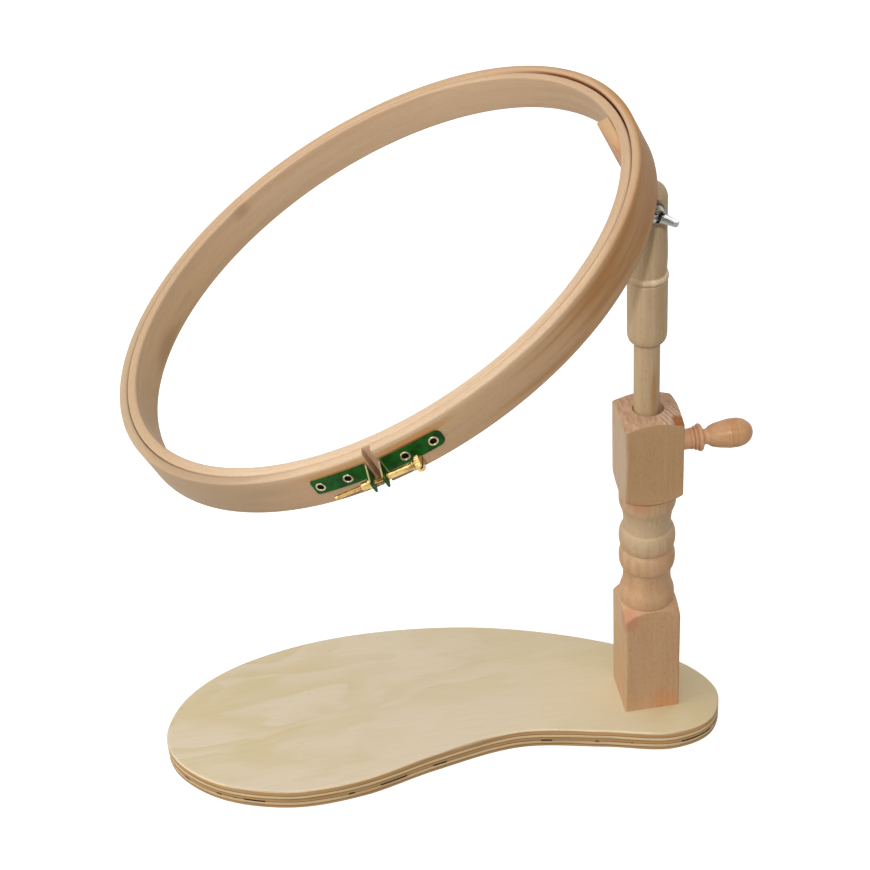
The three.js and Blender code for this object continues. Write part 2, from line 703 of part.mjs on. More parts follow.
// Assembly: the stand
piece('base_board', baseBoard(), PLY);
screwPlaces().forEach((x, i) => {
  piece(`base_screw_${i + 1}`, baseScrew(), STEEL).position.x = x;
});
piece('post', post(), BEECH).position.z = BASE_THICKNESS;

const clamp = group(root);
clamp.position.z = BASE_THICKNESS + KNOB_H;
clamp.rotation.y = Math.PI / 2;
piece('clamp_pad', clampPad(), PAD_WOOD, clamp);
piece('clamp_knob', clampKnob(), KNOB_WOOD, clamp);

// Assembly: the stem, which swivels in the post
const stem = group(root);
stem.position.x = STEM_SHIFT;
stem.rotation.z = radians(STEM_SWIVEL_DEG);
piece('stem_dowel', stemDowel(), BEECH, stem).position.z = POST_TOP_Z - DOWEL_ENGAGED;
piece('stem_head', stemHead(), BEECH, stem).position.z = HEAD_BOTTOM_Z;

const pivot = group(stem);
pivot.position.z = PIVOT_Z;
pivot.rotation.x = Math.PI / 2;
piece('pivot_bolt', pivotBolt(), ZINC, pivot);
piece('pivot_washer', tube(PIVOT_HOLE_R, WASHER_D / 2, 0, WASHER_T), ZINC, pivot).position.z = WASHER_Z;
const nut = piece('wing_nut', wingNut(), ZINC, pivot);
nut.position.z = NUT_Z;
nut.rotation.z = -radians(NUT_REST_DEG);

// Assembly: the hoop, which tilts on the pivot
const tilt = group(stem);
tilt.position.z = PIVOT_Z;
tilt.rotation.y = -radians(HOOP_TILT_DEG);
const hoop = group(tilt);
hoop.position.set(-HOOP_REACH, HOOP_SIDE_SHIFT, HOOP_RISE);
piece('hoop_bracket', hoopBracket(), BLOCK_WOOD, hoop);

// The rings and the tension hardware share a frame with the split on its -Y side
const rings = group(hoop);
rings.rotation.z = radians(SPLIT_DEG + 90);
piece('inner_ring', ring(INNER_RING_INNER_R, INNER_RING_R), RING_BEECH, rings);
piece('outer_ring', outerRing(), RING_BEECH, rings);
piece('plate_left', mirrorAcrossSplit(plate(PLATE_LEFT_L, PLATE_LEFT_CORNER_R)), GREEN_PAINT, rings);
piece('plate_right', plate(PLATE_RIGHT_L, PLATE_RIGHT_CORNER_R), GREEN_PAINT, rings);
eyeletPlaces().forEach((angle, i) => {
  piece(`eyelet_${i + 1}`, eyelet(), BRASS, rings).rotation.z = angle;
});

const tension = group(rings);
tension.position.set(0, -SCREW_R, -SCREW_DROP);
tension.rotation.y = Math.PI / 2;
piece('tension_screw', tensionScrew(), BRASS, tension);
piece('tension_sleeve', tensionSleeve(), BRASS, tension);
piece('tension_nut', tensionNut(), BRASS, tension);

export default root;
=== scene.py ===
"""Looks of the seat embroidery hoop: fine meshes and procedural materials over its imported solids.

The scene is in metres, in the solids' frame. Each piece is drawn in millimetres in a frame of its own,
and its surfaces carry a "grain" attribute: on wood, millimetres along, across and through the grain.
"""

import json
from math import atan2, cos, exp, hypot, pi, radians, sin, sqrt

import bmesh
import bpy
from mathutils import Matrix, Vector


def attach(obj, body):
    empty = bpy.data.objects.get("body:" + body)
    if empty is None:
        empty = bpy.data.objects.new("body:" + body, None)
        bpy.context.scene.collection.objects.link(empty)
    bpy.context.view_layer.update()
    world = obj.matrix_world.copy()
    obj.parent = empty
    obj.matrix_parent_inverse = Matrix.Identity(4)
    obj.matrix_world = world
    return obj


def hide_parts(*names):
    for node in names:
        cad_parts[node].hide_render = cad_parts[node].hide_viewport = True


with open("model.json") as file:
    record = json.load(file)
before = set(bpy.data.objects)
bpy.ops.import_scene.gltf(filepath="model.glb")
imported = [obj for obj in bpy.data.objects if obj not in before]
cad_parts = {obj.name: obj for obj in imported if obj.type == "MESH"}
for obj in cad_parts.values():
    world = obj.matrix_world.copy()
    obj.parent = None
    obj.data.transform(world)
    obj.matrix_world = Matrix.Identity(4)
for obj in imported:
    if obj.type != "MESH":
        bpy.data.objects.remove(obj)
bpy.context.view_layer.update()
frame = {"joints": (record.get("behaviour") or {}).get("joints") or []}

# Camera, fitted to the photograph
CAMERA_PLACE = Vector((-0.1985, -0.7946, 0.7903))
CAMERA_RIGHT = Vector((0.98809, -0.14057, -0.06253))
CAMERA_FORWARD = Vector((0.07964, 0.81509, -0.57383))
CAMERA_LENS = 72.67
CAMERA_SENSOR = 36.0

# Sizes in millimetres and turns in degrees, most of them the solids' own
BASE_T = 14.6
BASE_EASE = 1.2
BASE_OUTLINE = [
    (-302, 22), (-290, 51), (-262, 73.5), (-215, 88), (-164, 91), (-104, 83.5), (-52, 67), (-4, 43),
    (31.4, 17), (43.6, -10), (33.4, -32), (8, -40), (-34, -30), (-85, -20), (-139, -29), (-185, -41),
    (-229, -42), (-272, -26), (-297, 0),
]
SCREW_PLACES = (-8, 8)
POST_SIDE = 34
POST_TOP = 215.7
POST_DOME = 4.5
POST_CORNER = 1.2
POST_EASE = 0.9
BORE_R = 8.45
BORE_FOOT = 82.7
KNOB_H = 190.4
KNOB_HOLE_R = 6.1
STEM_SHIFT = -0.9
DOWEL_R = 7.25
DOWEL_LENGTH = 162.7
DOWEL_FOOT_Z = 132.3
HEAD_Z = 275.3
HEAD_R = 11
TO_BEAD = 41
TO_PIVOT = 83.3
TONGUE_R = 10.3
LAP_DROP = 12.5
LAP_HALF = 0.2
SPOT_FACE = 8.8
WASHER_R = 6
BOLT_R = 3
HOLE_R = 3.3
WASHER_Z = 9.1
NUT_Z = 10.6
NUT_REST = 18
LUG_R = 10
LUG_T = 10
REACH = 141
SIDE_SHIFT = 33.5
RISE = 28.85
RING_DEPTH = 22.3
OUTER_R = 157.3
OUTER_INNER_R = 152.3
INNER_R = 152
INNER_INNER_R = 146.3
RING_EDGE = 1.2
BLOCK_FACE = 139.5
BLOCK_BLUNT = 2.8
BLOCK_FAR = 0.7
SPLIT_TURN = -12.5
SPLIT_W = 4.6
PLATE_R = 157.45
PLATE_T = 0.8
PLATE_H = 8.6
PLATE_RISES = {-1: 1.4, 1: 0.5}
PLATE_BEND = 1.1
EYELET_PITCH = 14.9
EYELET_HOLE_R = 2.3
EAR_X = 2.9
EAR_TIP_R = 167.3
EAR_HALF = 3.6
SCREW_R = 162.8
SCREW_DROP = 2.6
SCREW_HOLE_R = 1.4
KNURL_R = 4.05
SLEEVE_FROM = 4
SLEEVE_TO = 17

# Counts: steps round a ring, and the eyelets' places in pitches from the split
RING_STEPS = 288
EYELET_STEPS = (-2, -1, 1, 2)

# Light and floor, in metres and degrees. An area lamp has a name, a place, a width and a power.
WHITE = (1, 1, 1, 1)
FLOOR_BOUNCE = (0.42, 0.39, 0.34, 1)
FLOOR_SEEN = (0.42, 0.42, 0.43, 1)
FLOOR_GLOW = 0.87
FLOOR_Z = -0.0002
FILL_COLOUR = (1, 0.95, 0.87, 1)
FILL_STRENGTH = 0.2
LAMP_AIM = Vector((-0.1, 0.05, 0.1))
AREA_LAMPS = (
    ("overhead", (-0.9, -0.35, 2.25), 2.4, 27),
    ("left", (-1.9, 0.1, 0.6), 1.2, 10),
    ("back", (1.7, 1.7, 0.9), 1.6, 9),
)
SUN_ENERGY = 1.5
SUN_ANGLE = 2.5
SUN_DIRECTION = Vector((0.198, 0.74, -0.643))

# Gloss of bare wood
WOOD_IOR = 1.45
WOOD_SPECULAR = 0.2

# Angles above which an edge is shaded as sharp, or bevelled
SHARP_ANGLE = radians(32)
BEVEL_ANGLE = radians(40)

# Turns that lay a shape made along +Z down along +X, and along -Y
TO_X = Matrix.Rotation(pi / 2, 4, "Y")
TO_FRONT = Matrix.Rotation(pi / 2, 4, "X")

# Directions of the moving groups, from the joints, and the frames that pieces are drawn in
joints = {joint["name"]: joint for joint in frame["joints"]}
pivot_place = Vector(joints["hoop_tilt"]["pos_m"])
across = Vector(joints["hoop_tilt"]["axis"]).normalized()
hoop_up = Vector(joints["outer_ring_lift"]["axis"]).normalized()
uphill = across.cross(hoop_up)
up = Vector((0, 0, 1))


def frame_at(place, x, y, z):
    """A frame with its origin in metres, its axes along x, y and z, and its inside in millimetres."""
    turn = Matrix((x, y, z)).transposed().to_4x4()
    return Matrix.Translation(place) @ turn @ Matrix.Scale(0.001, 4)


STAND = Matrix.Scale(0.001, 4)
POST = STAND @ Matrix.Translation((0, 0, BASE_T))
CLAMP = POST @ Matrix.Translation((0, 0, KNOB_H)) @ TO_X
STEM = frame_at(Vector((STEM_SHIFT / 1000, 0, 0)), across.cross(up), across, up)
HEAD = STEM @ Matrix.Translation((0, 0, HEAD_Z))
PIVOT = frame_at(pivot_place, across.cross(up), up, -across)
HOOP = frame_at(pivot_place, uphill, across, hoop_up) @ Matrix.Translation((-REACH, SIDE_SHIFT, RISE))
SPLIT = HOOP @ Matrix.Rotation(radians(SPLIT_TURN), 4, "Z")
TENSION = SPLIT @ Matrix.Translation((0, -SCREW_R, -SCREW_DROP)) @ TO_X


# Outlines

def arc(r, z, radius_r, radius_z, start, stop, steps):
    """Points of an elliptic arc, with its angles in degrees."""
    angles = [radians(start + (stop - start) * i / steps) for i in range(steps + 1)]
    return [(r + radius_r * cos(a), z + radius_z * sin(a)) for a in angles]


def span(p0, p1, p2, p3, steps):
    """Points from p1 up to p2 of a centripetal spline through four points."""
    gaps = [max(hypot(b[0] - a[0], b[1] - a[1]) ** 0.5, 1e-4) for a, b in ((p0, p1), (p1, p2), (p2, p3))]
    points = []
    for step in range(steps):
        t = step / steps
        point = []
        for a, b, c, d in zip(p0, p1, p2, p3):
            rise = (b - a) / gaps[0] - (c - a) / (gaps[0] + gaps[1]) + (c - b) / gaps[1]
            fall = (c - b) / gaps[1] - (d - b) / (gaps[1] + gaps[2]) + (d - c) / gaps[2]
            m1, m2 = rise * gaps[1], fall * gaps[1]
            cubic = 2 * b - 2 * c + m1 + m2
            square = -3 * b + 3 * c - 2 * m1 - m2
            point.append(cubic * t ** 3 + square * t ** 2 + m1 * t + b)
        points.append(tuple(point))
    return points


def smooth(points, steps):
    """An open smooth line through the points."""
    padded = [points[0], *points, points[-1]]
    line = []
    for i in range(len(points) - 1):
        line += span(*padded[i:i + 4], steps)
    return [*line, points[-1]]


def smooth_loop(points, steps):
    """A closed smooth line through the points."""
    count = len(points)
    line = []
    for i in range(count):
        line += span(*(points[(i + k) % count] for k in (-1, 0, 1, 2)), steps)
    return line


# Meshes

def lathe(profile, segments=96, closed=False, ripple=None):
    """A solid turned about Z from (radius, height) pairs; ripple(angle, radius) adds to a radius."""
    bm = bmesh.new()
    rows = []
    for radius, height in profile:
        if radius < 1e-6:
            rows.append([bm.verts.new((0, 0, height))])
            continue
        row = []
        for i in range(segments):
            angle = 2 * pi * i / segments
            r = radius + (ripple(angle, radius) if ripple else 0)
            row.append(bm.verts.new((r * cos(angle), r * sin(angle), height)))
        rows.append(row)
    for low, high in zip(rows, rows[1:] + rows[:1] if closed else rows[1:]):
        for i in range(segments):
            j = (i + 1) % segments
            corners = [low[i % len(low)], low[j % len(low)], high[j % len(high)], high[i % len(high)]]
            corners = list(dict.fromkeys(corners))
            if len(corners) > 2:
                bm.faces.new(corners)
    return bm


def rod(radius, low, high, segments=48):
    return lathe([(0, low), (radius, low), (radius, high), (0, high)], segments)


def prism(outline, low, high):
    """A flat outline in XY, raised from one height to another."""
    bm = bmesh.new()
    bottom = [bm.verts.new((x, y, low)) for x, y in outline]
    top = [bm.verts.new((x, y, high)) for x, y in outline]
    bm.faces.new(bottom[::-1])
    bm.faces.new(top)
    for i in range(len(outline)):
        j = (i + 1) % len(outline)
        bm.faces.new((bottom[i], bottom[j], top[j], top[i]))
    return bm


def block(x0, x1, y0, y1, z0, z1):
    return prism([(x0, y0), (x1, y0), (x1, y1), (x0, y1)], z0, z1)


def skin(bm, rows):
    """Faces between neighbouring rows, which are closed loops of one length, and over both ends."""
    for low, high in zip(rows, rows[1:]):
        for i in range(len(low)):
            j = (i + 1) % len(low)
            bm.faces.new((low[i], low[j], high[j], high[i]))
    bm.faces.new(rows[0])
    bm.faces.new(rows[-1])


def turned_by(bm, matrix):
    bmesh.ops.transform(bm, matrix=matrix, verts=bm.verts)
    return bm


def lying(bm, place=(0, 0, 0)):
    """Lays a shape made along +Z down along -Y."""
    return turned_by(bm, Matrix.Translation(place) @ TO_FRONT)


def merged(*parts):
    """One mesh of several shapes."""
    whole = bmesh.new()
    for part in parts:
        shape = to_mesh(part)
        whole.from_mesh(shape)
        bpy.data.meshes.remove(shape)
    return whole


def to_mesh(bm):
    mesh = bpy.data.meshes.new("shape")
    bmesh.ops.recalc_face_normals(bm, faces=bm.faces)
    bm.to_mesh(mesh)
    bm.free()
    return mesh


def add_object(name, mesh):
    made = bpy.data.objects.new(name, mesh)
    bpy.context.scene.collection.objects.link(made)
    return made


def settle(piece, steps, bevel):
    """Applies boolean steps, each an (operation, shape) pair, and a bevel of the sharp edges."""
    tools = []
    for operation, shape in steps:
        tools.append(add_object("tool", to_mesh(shape)))
        modifier = piece.modifiers.new("step", "BOOLEAN")
        modifier.operation = operation
        modifier.object = tools[-1]
        modifier.solver = "EXACT"
    if bevel:
        modifier = piece.modifiers.new("bevel", "BEVEL")
        modifier.width = bevel
        modifier.segments = 3
        modifier.limit_method = "ANGLE"
        modifier.angle_limit = BEVEL_ANGLE
    if not piece.modifiers:
        return
    rough = piece.data
    evaluated = piece.evaluated_get(bpy.context.evaluated_depsgraph_get())
    piece.data = bpy.data.meshes.new_from_object(evaluated)
    piece.modifiers.clear()
    bpy.data.meshes.remove(rough)
    for tool in tools:
        shape = tool.data
        bpy.data.objects.remove(tool)
        bpy.data.meshes.remove(shape)


def upright(point, _):
    return point.z, point.x, point.y


def lengthwise(point, _):
    return point.x, point.y, point.z


def crosswise(point, _):
    return point.y, point.x, point.z


def round_ring(start):
    """Grain that runs round the hoop's axis, with its joint at an angle in degrees."""
    def grain(point, middle):
        turn = (atan2(middle.y, middle.x) - radians(start)) % (2 * pi)
        swing = atan2(point.y, point.x) - atan2(middle.y, middle.x)
        swing = (swing + pi) % (2 * pi) - pi
        return (turn + swing) * OUTER_R, point.z, hypot(point.x, point.y) - INNER_INNER_R
    return grain


def store_grain(mesh, grain):
    values = []
    for polygon in mesh.polygons:
        for vertex in polygon.vertices:
            values.extend(grain(mesh.vertices[vertex].co, polygon.center))
    mesh.attributes.new("grain", "FLOAT_VECTOR", "CORNER").data.foreach_set("vector", values)


def add_piece(name, bm, place, body, node, material, grain=upright, steps=(), bevel=0, second=None):
    """A finished piece in place of a solid. second is a (material, test) pair for some of its faces."""
    piece = add_object(name, to_mesh(bm))
    settle(piece, steps, bevel)
    mesh = piece.data
    mesh.name = name
    store_grain(mesh, grain)
    mesh.materials.clear()
    mesh.materials.append(material)
    if second:
        mesh.materials.append(second[0])
    for polygon in mesh.polygons:
        polygon.use_smooth = True
        polygon.material_index = 1 if second and second[1](polygon) else 0
    mesh.set_sharp_from_angle(angle=SHARP_ANGLE)
    mesh.transform(place)
    mesh.update()
    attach(piece, body)
    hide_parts(node)


# Materials

def srgb(red, green, blue):
    """A colour as seen, from 0 to 255, as linear light."""
    channels = [c / 255 for c in (red, green, blue)]
    return (*[c / 12.92 if c < 0.04045 else ((c + 0.055) / 1.055) ** 2.4 for c in channels], 1)


class Shader:
    """A material's nodes, added by type, settings and inputs."""

    def __init__(self, name):
        self.material = bpy.data.materials.new(name)
        self.material.use_nodes = True
        self.tree = self.material.node_tree
        self.surface = self.tree.nodes["Principled BSDF"]

    def feed(self, socket, value):
        if isinstance(value, bpy.types.NodeSocket):
            self.tree.links.new(value, socket)
        else:
            socket.default_value = value

    def node(self, kind, inputs=(), **settings):
        node = self.tree.nodes.new("ShaderNode" + kind)
        for key, value in settings.items():
            setattr(node, key, value)
        for key, value in dict(inputs).items():
            self.feed(node.inputs[key], value)
        return node

    def set(self, **inputs):
        for key, value in inputs.items():
            self.feed(self.surface.inputs[key.replace("_", " ")], value)

    def grain(self):
        return self.node("Attribute", attribute_name="grain").outputs["Vector"]

    def math(self, operation, a, b=0.0):
        return self.node("Math", {0: a, 1: b}, operation=operation).outputs[0]

    def vector(self, operation, *inputs):
        return self.node("VectorMath", dict(enumerate(inputs)), operation=operation).outputs["Vector"]

    def length(self, vector):
        return self.node("VectorMath", {0: vector}, operation="LENGTH").outputs["Value"]

    def axes(self, vector):
        """The three numbers of a vector."""
        return self.node("SeparateXYZ", {0: vector}).outputs

    def noise(self, vector, factors, detail=2.0, roughness=0.5, output="Fac"):
        stretched = self.vector("MULTIPLY", vector, factors)
        inputs = {"Vector": stretched, "Scale": 1.0, "Detail": detail, "Roughness": roughness}
        return self.node("TexNoise", inputs).outputs[output]

    def bent(self, vector, factors, amounts):
        """The vector, shifted by a soft noise so that what follows it wanders."""
        warp = self.noise(vector, factors, output="Color")
        shift = self.vector("SUBTRACT", warp, (0.5, 0.5, 0.5))
        return self.vector("MULTIPLY_ADD", shift, amounts, vector)

    def growth(self, part, pith, gap):
        """From 0 to 1 across each growth ring round a pith."""
        aside = self.math("POWER", self.math("SUBTRACT", part[1], pith[0]), 2.0)
        above = self.math("POWER", self.math("SUBTRACT", part[2], pith[1]), 2.0)
        away = self.math("SQRT", self.math("ADD", aside, above))
        return self.math("FRACT", self.math("DIVIDE", away, gap))

    def between(self, value, low, high, to_low=0.0, to_high=1.0):
        inputs = {"Value": value, "From Min": low, "From Max": high, "To Min": to_low, "To Max": to_high}
        return self.node("MapRange", inputs, interpolation_type="SMOOTHSTEP").outputs["Result"]

    def mix(self, factor, a, b, blend="MIX"):
        inputs = {0: factor, 6: a, 7: b}
        return self.node("Mix", inputs, data_type="RGBA", blend_type=blend).outputs[2]

    def ramp(self, value, stops):
        node = self.node("ValToRGB", {"Fac": value})
        points = node.color_ramp.elements
        while len(points) < len(stops):
            points.new(0.5)
        for point, (position, colour) in zip(points, stops):
            point.position = position
            point.color = colour
        return node.outputs["Color"]

    def bump(self, height, strength, distance):
        inputs = {"Height": height, "Strength": strength, "Distance": distance}
        self.set(Normal=self.node("Bump", inputs).outputs["Normal"])

    def plated(self, where, smoothest, roughest):
        """Makes it metal with a finely uneven gloss."""
        fine = self.noise(where, (0.9, 0.9, 0.9), detail=4.0, roughness=0.7)
        self.set(Metallic=1.0, Roughness=self.between(fine, 0.3, 0.7, smoothest, roughest))
        self.bump(fine, 0.06, 0.0002)


def wood(
    name, pale, deep, blush, pith=(60, 26), ring_gap=2.4, rings=0.14, flecks=0.25, figure=0.8,
    gloss=0.55, coat=0.0, tints=(),
):
    """Solid wood: growth rings round a pith beside the piece, fibres, streaks, patches and ray flecks.

    Each tint is a soft-edged patch of colour, its centre and radii in the grain's axes, its colour and its
    strength: some are stains, some are painted light and shade.
    """
    s = Shader(name)
    grain = s.grain()
    bent = s.bent(grain, (0.007, 0.035, 0.035), (6, 7, 7))
    ring = s.growth(s.axes(bent), pith, ring_gap)
    late = s.math("MULTIPLY", s.between(ring, 0.35, 0.9), s.between(ring, 1.0, 0.92))
    uneven = s.between(s.noise(grain, (0.012, 0.06, 0.06)), 0.35, 0.7)
    fibre = s.noise(bent, (0.06, 1.5, 1.5), detail=4.0, roughness=0.6)
    streak = s.noise(bent, (0.01, 0.2, 0.2), detail=3.0)
    patch = s.noise(grain, (0.014, 0.03, 0.03), detail=3.0)
    dash = s.between(s.noise(grain, (0.4, 2.2, 2.2), detail=1.0), 0.58, 0.7)
    colour = s.mix(s.between(streak, 0.3, 0.72, 0.0, figure), pale, deep)
    colour = s.mix(s.between(patch, 0.46, 0.72, 0.0, 0.75), colour, blush)
    for centre, radii, tint_colour, strength in tints:
        away = s.length(s.vector("DIVIDE", s.vector("SUBTRACT", grain, centre), radii))
        away = s.math("ADD", away, s.between(streak, 0.2, 0.8, -0.3, 0.3))
        colour = s.mix(s.between(away, 1.15, 0.35, 0.0, strength), colour, tint_colour)
    colour = s.mix(s.math("MULTIPLY", s.math("MULTIPLY", late, uneven), rings), colour, deep, "MULTIPLY")
    colour = s.mix(s.between(fibre, 0.35, 0.75, 0.0, 0.3), colour, deep)
    colour = s.mix(s.math("MULTIPLY", dash, flecks), colour, deep, "MULTIPLY")
    s.set(Base_Color=colour, Roughness=s.between(fibre, 0.3, 0.7, gloss - 0.06, gloss + 0.1))
    s.set(IOR=WOOD_IOR, Specular_IOR_Level=WOOD_SPECULAR, Coat_Weight=coat, Coat_Roughness=0.25)
    s.bump(s.math("SUBTRACT", fibre, s.math("MULTIPLY", dash, 0.5)), 0.18, 0.0004)
    return s.material


def end_grain(name, pale, deep, tint_colour):
    """Sawn end grain: short dark pores, growth arcs and saw strokes, with a stained corner."""
    s = Shader(name)
    grain = s.grain()
    pore = s.noise(grain, (0.3, 1.4, 1.4), detail=4.0, roughness=0.7)
    part = s.axes(grain)
    ring = s.growth(part, (70.0, -40.0), 3.1)
    stroke = s.noise(grain, (0.2, 0.5, 0.16), detail=2.0)
    slant = s.math("ADD", s.math("MULTIPLY", part[1], 0.9), s.math("MULTIPLY", part[2], 0.42))
    ragged = s.between(pore, 0.2, 0.8, -1.2, 1.2)
    slant = s.math("SINE", s.math("ADD", s.math("MULTIPLY", slant, 2.5), ragged))
    sawn = s.math("MULTIPLY", s.between(part[1], 1.0, 6.0), s.between(part[2], 3.0, -4.0))
    sawn = s.math("MULTIPLY", sawn, s.between(slant, -0.1, 0.8))
    corner = s.math("ADD", s.between(part[1], 7.0, 13.0), s.between(part[2], -6.0, -13.0))
    corner = s.math("MULTIPLY", s.between(corner, 1.35, 1.95), s.between(pore, 0.2, 0.5))
    colour = s.mix(s.between(stroke, 0.35, 0.7), pale, deep)
    colour = s.mix(s.math("MULTIPLY", s.between(ring, 0.4, 0.95), 0.18), colour, deep)
    colour = s.mix(s.between(pore, 0.4, 0.7, 0.0, 0.35), colour, deep)
    colour = s.mix(s.math("MULTIPLY", sawn, 0.5), colour, srgb(228, 208, 188))
    colour = s.mix(corner, colour, tint_colour)
    s.set(Base_Color=colour, Roughness=0.75, IOR=WOOD_IOR, Specular_IOR_Level=WOOD_SPECULAR)
    s.bump(s.math("ADD", pore, s.math("MULTIPLY", stroke, 0.6)), 0.5, 0.0006)
    return s.material


def veneer(name, pale, yellow, deep):
    """Rotary-cut face veneer: yellow clouds and flame lines, fine fibres and a few dark pin marks,
    yellower and darker towards the post end: partly its own tone, partly painted shade.
    """
    s = Shader(name)
    grain = s.grain()
    part = s.axes(grain)
    bent = s.bent(grain, (0.012, 0.03, 0.03), (90, 36, 0))
    flame = s.math("FRACT", s.math("MULTIPLY", s.noise(bent, (0.004, 0.014, 0.014), detail=2.0), 13.0))
    flame = s.math("MULTIPLY", s.between(flame, 0.1, 0.85), s.between(flame, 1.0, 0.9))
    where = s.between(s.noise(grain, (0.008, 0.014, 0.014)), 0.42, 0.62)
    cloud = s.noise(bent, (0.011, 0.03, 0.03), detail=4.0, roughness=0.6)
    fibre = s.noise(grain, (0.04, 0.9, 0.9), detail=4.0, roughness=0.65)
    pin = s.between(s.noise(grain, (0.14, 0.5, 0.5), detail=0.0), 0.87, 0.89)
    # Yellower and darker towards the post end: partly the veneer's own tone, partly painted shade.
    towards = s.between(part[0], -150.0, 40.0, 0.0, 0.5)
    most = s.between(part[0], -120.0, -220.0, 0.3, 0.55)
    colour = s.mix(towards, pale, yellow)
    colour = s.mix(s.math("MULTIPLY", s.between(cloud, 0.44, 0.7), most), colour, yellow)
    colour = s.mix(s.math("MULTIPLY", s.math("MULTIPLY", flame, where), most), colour, yellow)
    colour = s.mix(s.between(fibre, 0.4, 0.75, 0.0, 0.14), colour, deep)
    colour = s.mix(s.math("MULTIPLY", pin, 0.7), colour, srgb(110, 84, 56))
    s.set(Base_Color=colour, Roughness=s.between(fibre, 0.3, 0.7, 0.45, 0.6), IOR=WOOD_IOR)
    s.bump(fibre, 0.12, 0.0003)
    return s.material


def ply_edge(name, face, pale, tan, dark):
    """The board's edge: pale and tan layers by height, pores, fibres, dark glue lines and a few voids, and
    at the top the face veneer with a painted highlight on the eased edge.
    """
    s = Shader(name)
    grain = s.grain()
    part = s.axes(grain)
    wave = s.between(s.noise(grain, (0.03, 0.03, 0.0)), 0.3, 0.7, -0.012, 0.012)
    height = s.math("ADD", s.math("DIVIDE", part[2], BASE_T), wave)
    layers = [
        (0.0, dark), (0.06, tan), (0.15, tan), (0.19, dark), (0.22, pale), (0.33, pale),
        (0.37, dark), (0.4, tan), (0.5, tan), (0.54, dark), (0.57, pale), (0.68, pale),
        # Top layer: the face veneer, lightened as a painted highlight on the eased edge.
        (0.72, dark), (0.75, tan), (0.89, tan), (0.93, face),
    ]
    colour = s.ramp(height, layers)
    pore = s.noise(grain, (0.5, 0.5, 1.2), detail=4.0, roughness=0.7)
    long = s.noise(grain, (0.025, 0.025, 0.9), detail=3.0)
    void = s.between(s.noise(grain, (0.07, 0.07, 0.0), detail=1.0), 0.56, 0.6)
    off_line = s.math("ABSOLUTE", s.math("SUBTRACT", height, 0.37))
    void = s.math("MULTIPLY", void, s.between(off_line, 0.06, 0.035))
    colour = s.mix(s.between(pore, 0.4, 0.75, 0.0, 0.35), colour, tan)
    colour = s.mix(s.between(long, 0.45, 0.7, 0.0, 0.35), colour, dark)
    colour = s.mix(void, colour, srgb(48, 30, 18))
    s.set(Base_Color=colour, Roughness=0.6, IOR=WOOD_IOR, Specular_IOR_Level=WOOD_SPECULAR)
    s.bump(s.math("ADD", pore, long), 0.2, 0.0004)
    return s.material


def metal(name, bright, dull, roughness):
    """Plated metal: bright, duller in patches, with a finely uneven gloss."""
    s = Shader(name)
    where = s.grain()
    patch = s.noise(where, (0.35, 0.35, 0.35), detail=3.0)
    s.set(Base_Color=s.mix(s.between(patch, 0.4, 0.75, 0.0, 0.7), bright, dull))
    s.plated(where, roughness - 0.06, roughness + 0.12)
    return s.material


def painted_glint_metal(name):
    """Zinc of the wings, with painted highlights along two lines of each wing and painted dark reflection
    between them, and a darker tip.
    """
    s = Shader(name)
    where = s.grain()
    part = s.axes(where)
    across_blade = s.math("SUBTRACT", part[0], s.math("ABSOLUTE", part[1]))
    along = s.math("ADD", part[0], s.math("ABSOLUTE", part[1]))
    tip = s.between(along, 19.0, 20.6, 0.0, 0.7)
    # Painted highlights and dark reflections across each wing.
    grey = [srgb(v, v + 2, v) for v in (40, 140, 240, 76, 244, 150)]
    painted_glint_bands = s.ramp(s.between(across_blade, -1.8, 4.8), [
        (0.0, grey[0]), (0.25, grey[1]), (0.42, grey[2]), (0.56, grey[3]), (0.7, grey[4]), (1.0, grey[5]),
    ])
    s.set(Base_Color=s.mix(tip, painted_glint_bands, srgb(70, 72, 72)))
    s.plated(where, 0.18, 0.32)
    return s.material


def paint(name, colour, worn):
    """Paint on sheet metal, with a slight orange peel and darker patches."""
    s = Shader(name)
    where = s.grain()
    peel = s.noise(where, (1.1, 1.1, 1.1), detail=2.0)
    patch = s.noise(where, (0.25, 0.25, 0.25), detail=3.0)
    s.set(Base_Color=s.mix(s.between(patch, 0.4, 0.7), colour, worn))
    s.set(Roughness=s.between(peel, 0.3, 0.7, 0.4, 0.52), IOR=1.4, Specular_IOR_Level=0.2)
    s.bump(peel, 0.08, 0.0003)
    return s.material


POST_WOOD = wood(
    "post_wood", srgb(206, 170, 132), srgb(190, 150, 112), srgb(204, 162, 126),
    rings=0.1, flecks=0.28, figure=1.0,
    tints=[
        # Painted shade: the front faces of both blocks darker.
        ((42, 0, -17.5), (48, 60, 3.6), srgb(190, 152, 118), 0.7),
        ((188, 0, -17.5), (42, 60, 3.6), srgb(178, 144, 104), 0.75),
        # Painted light: the left faces of both blocks paler.
        ((35, -17.5, 0), (75, 3.6, 60), srgb(205, 172, 133), 0.85),
        ((188, -17.5, 0), (42, 3.6, 60), srgb(200, 176, 147), 0.9),
        ((136, 0, 0), (24, 40, 40), srgb(198, 178, 146), 0.8),
        ((5, 9, -17), (13, 11, 4), srgb(204, 140, 92), 0.6),
        ((22, -17, -8), (16, 4, 8), srgb(218, 164, 116), 0.6),
        ((73, -15, -14), (9, 8, 9), srgb(194, 130, 102), 0.65),
        ((158, -8, -14), (7, 8, 8), srgb(196, 134, 108), 0.5),
    ],
)
DOWEL_WOOD = wood(
    "dowel_wood", srgb(204, 178, 146), srgb(184, 154, 120), srgb(194, 170, 132),
    tints=[((112, 2, -7), (17, 2.2, 4), srgb(180, 138, 90), 0.75)],
)
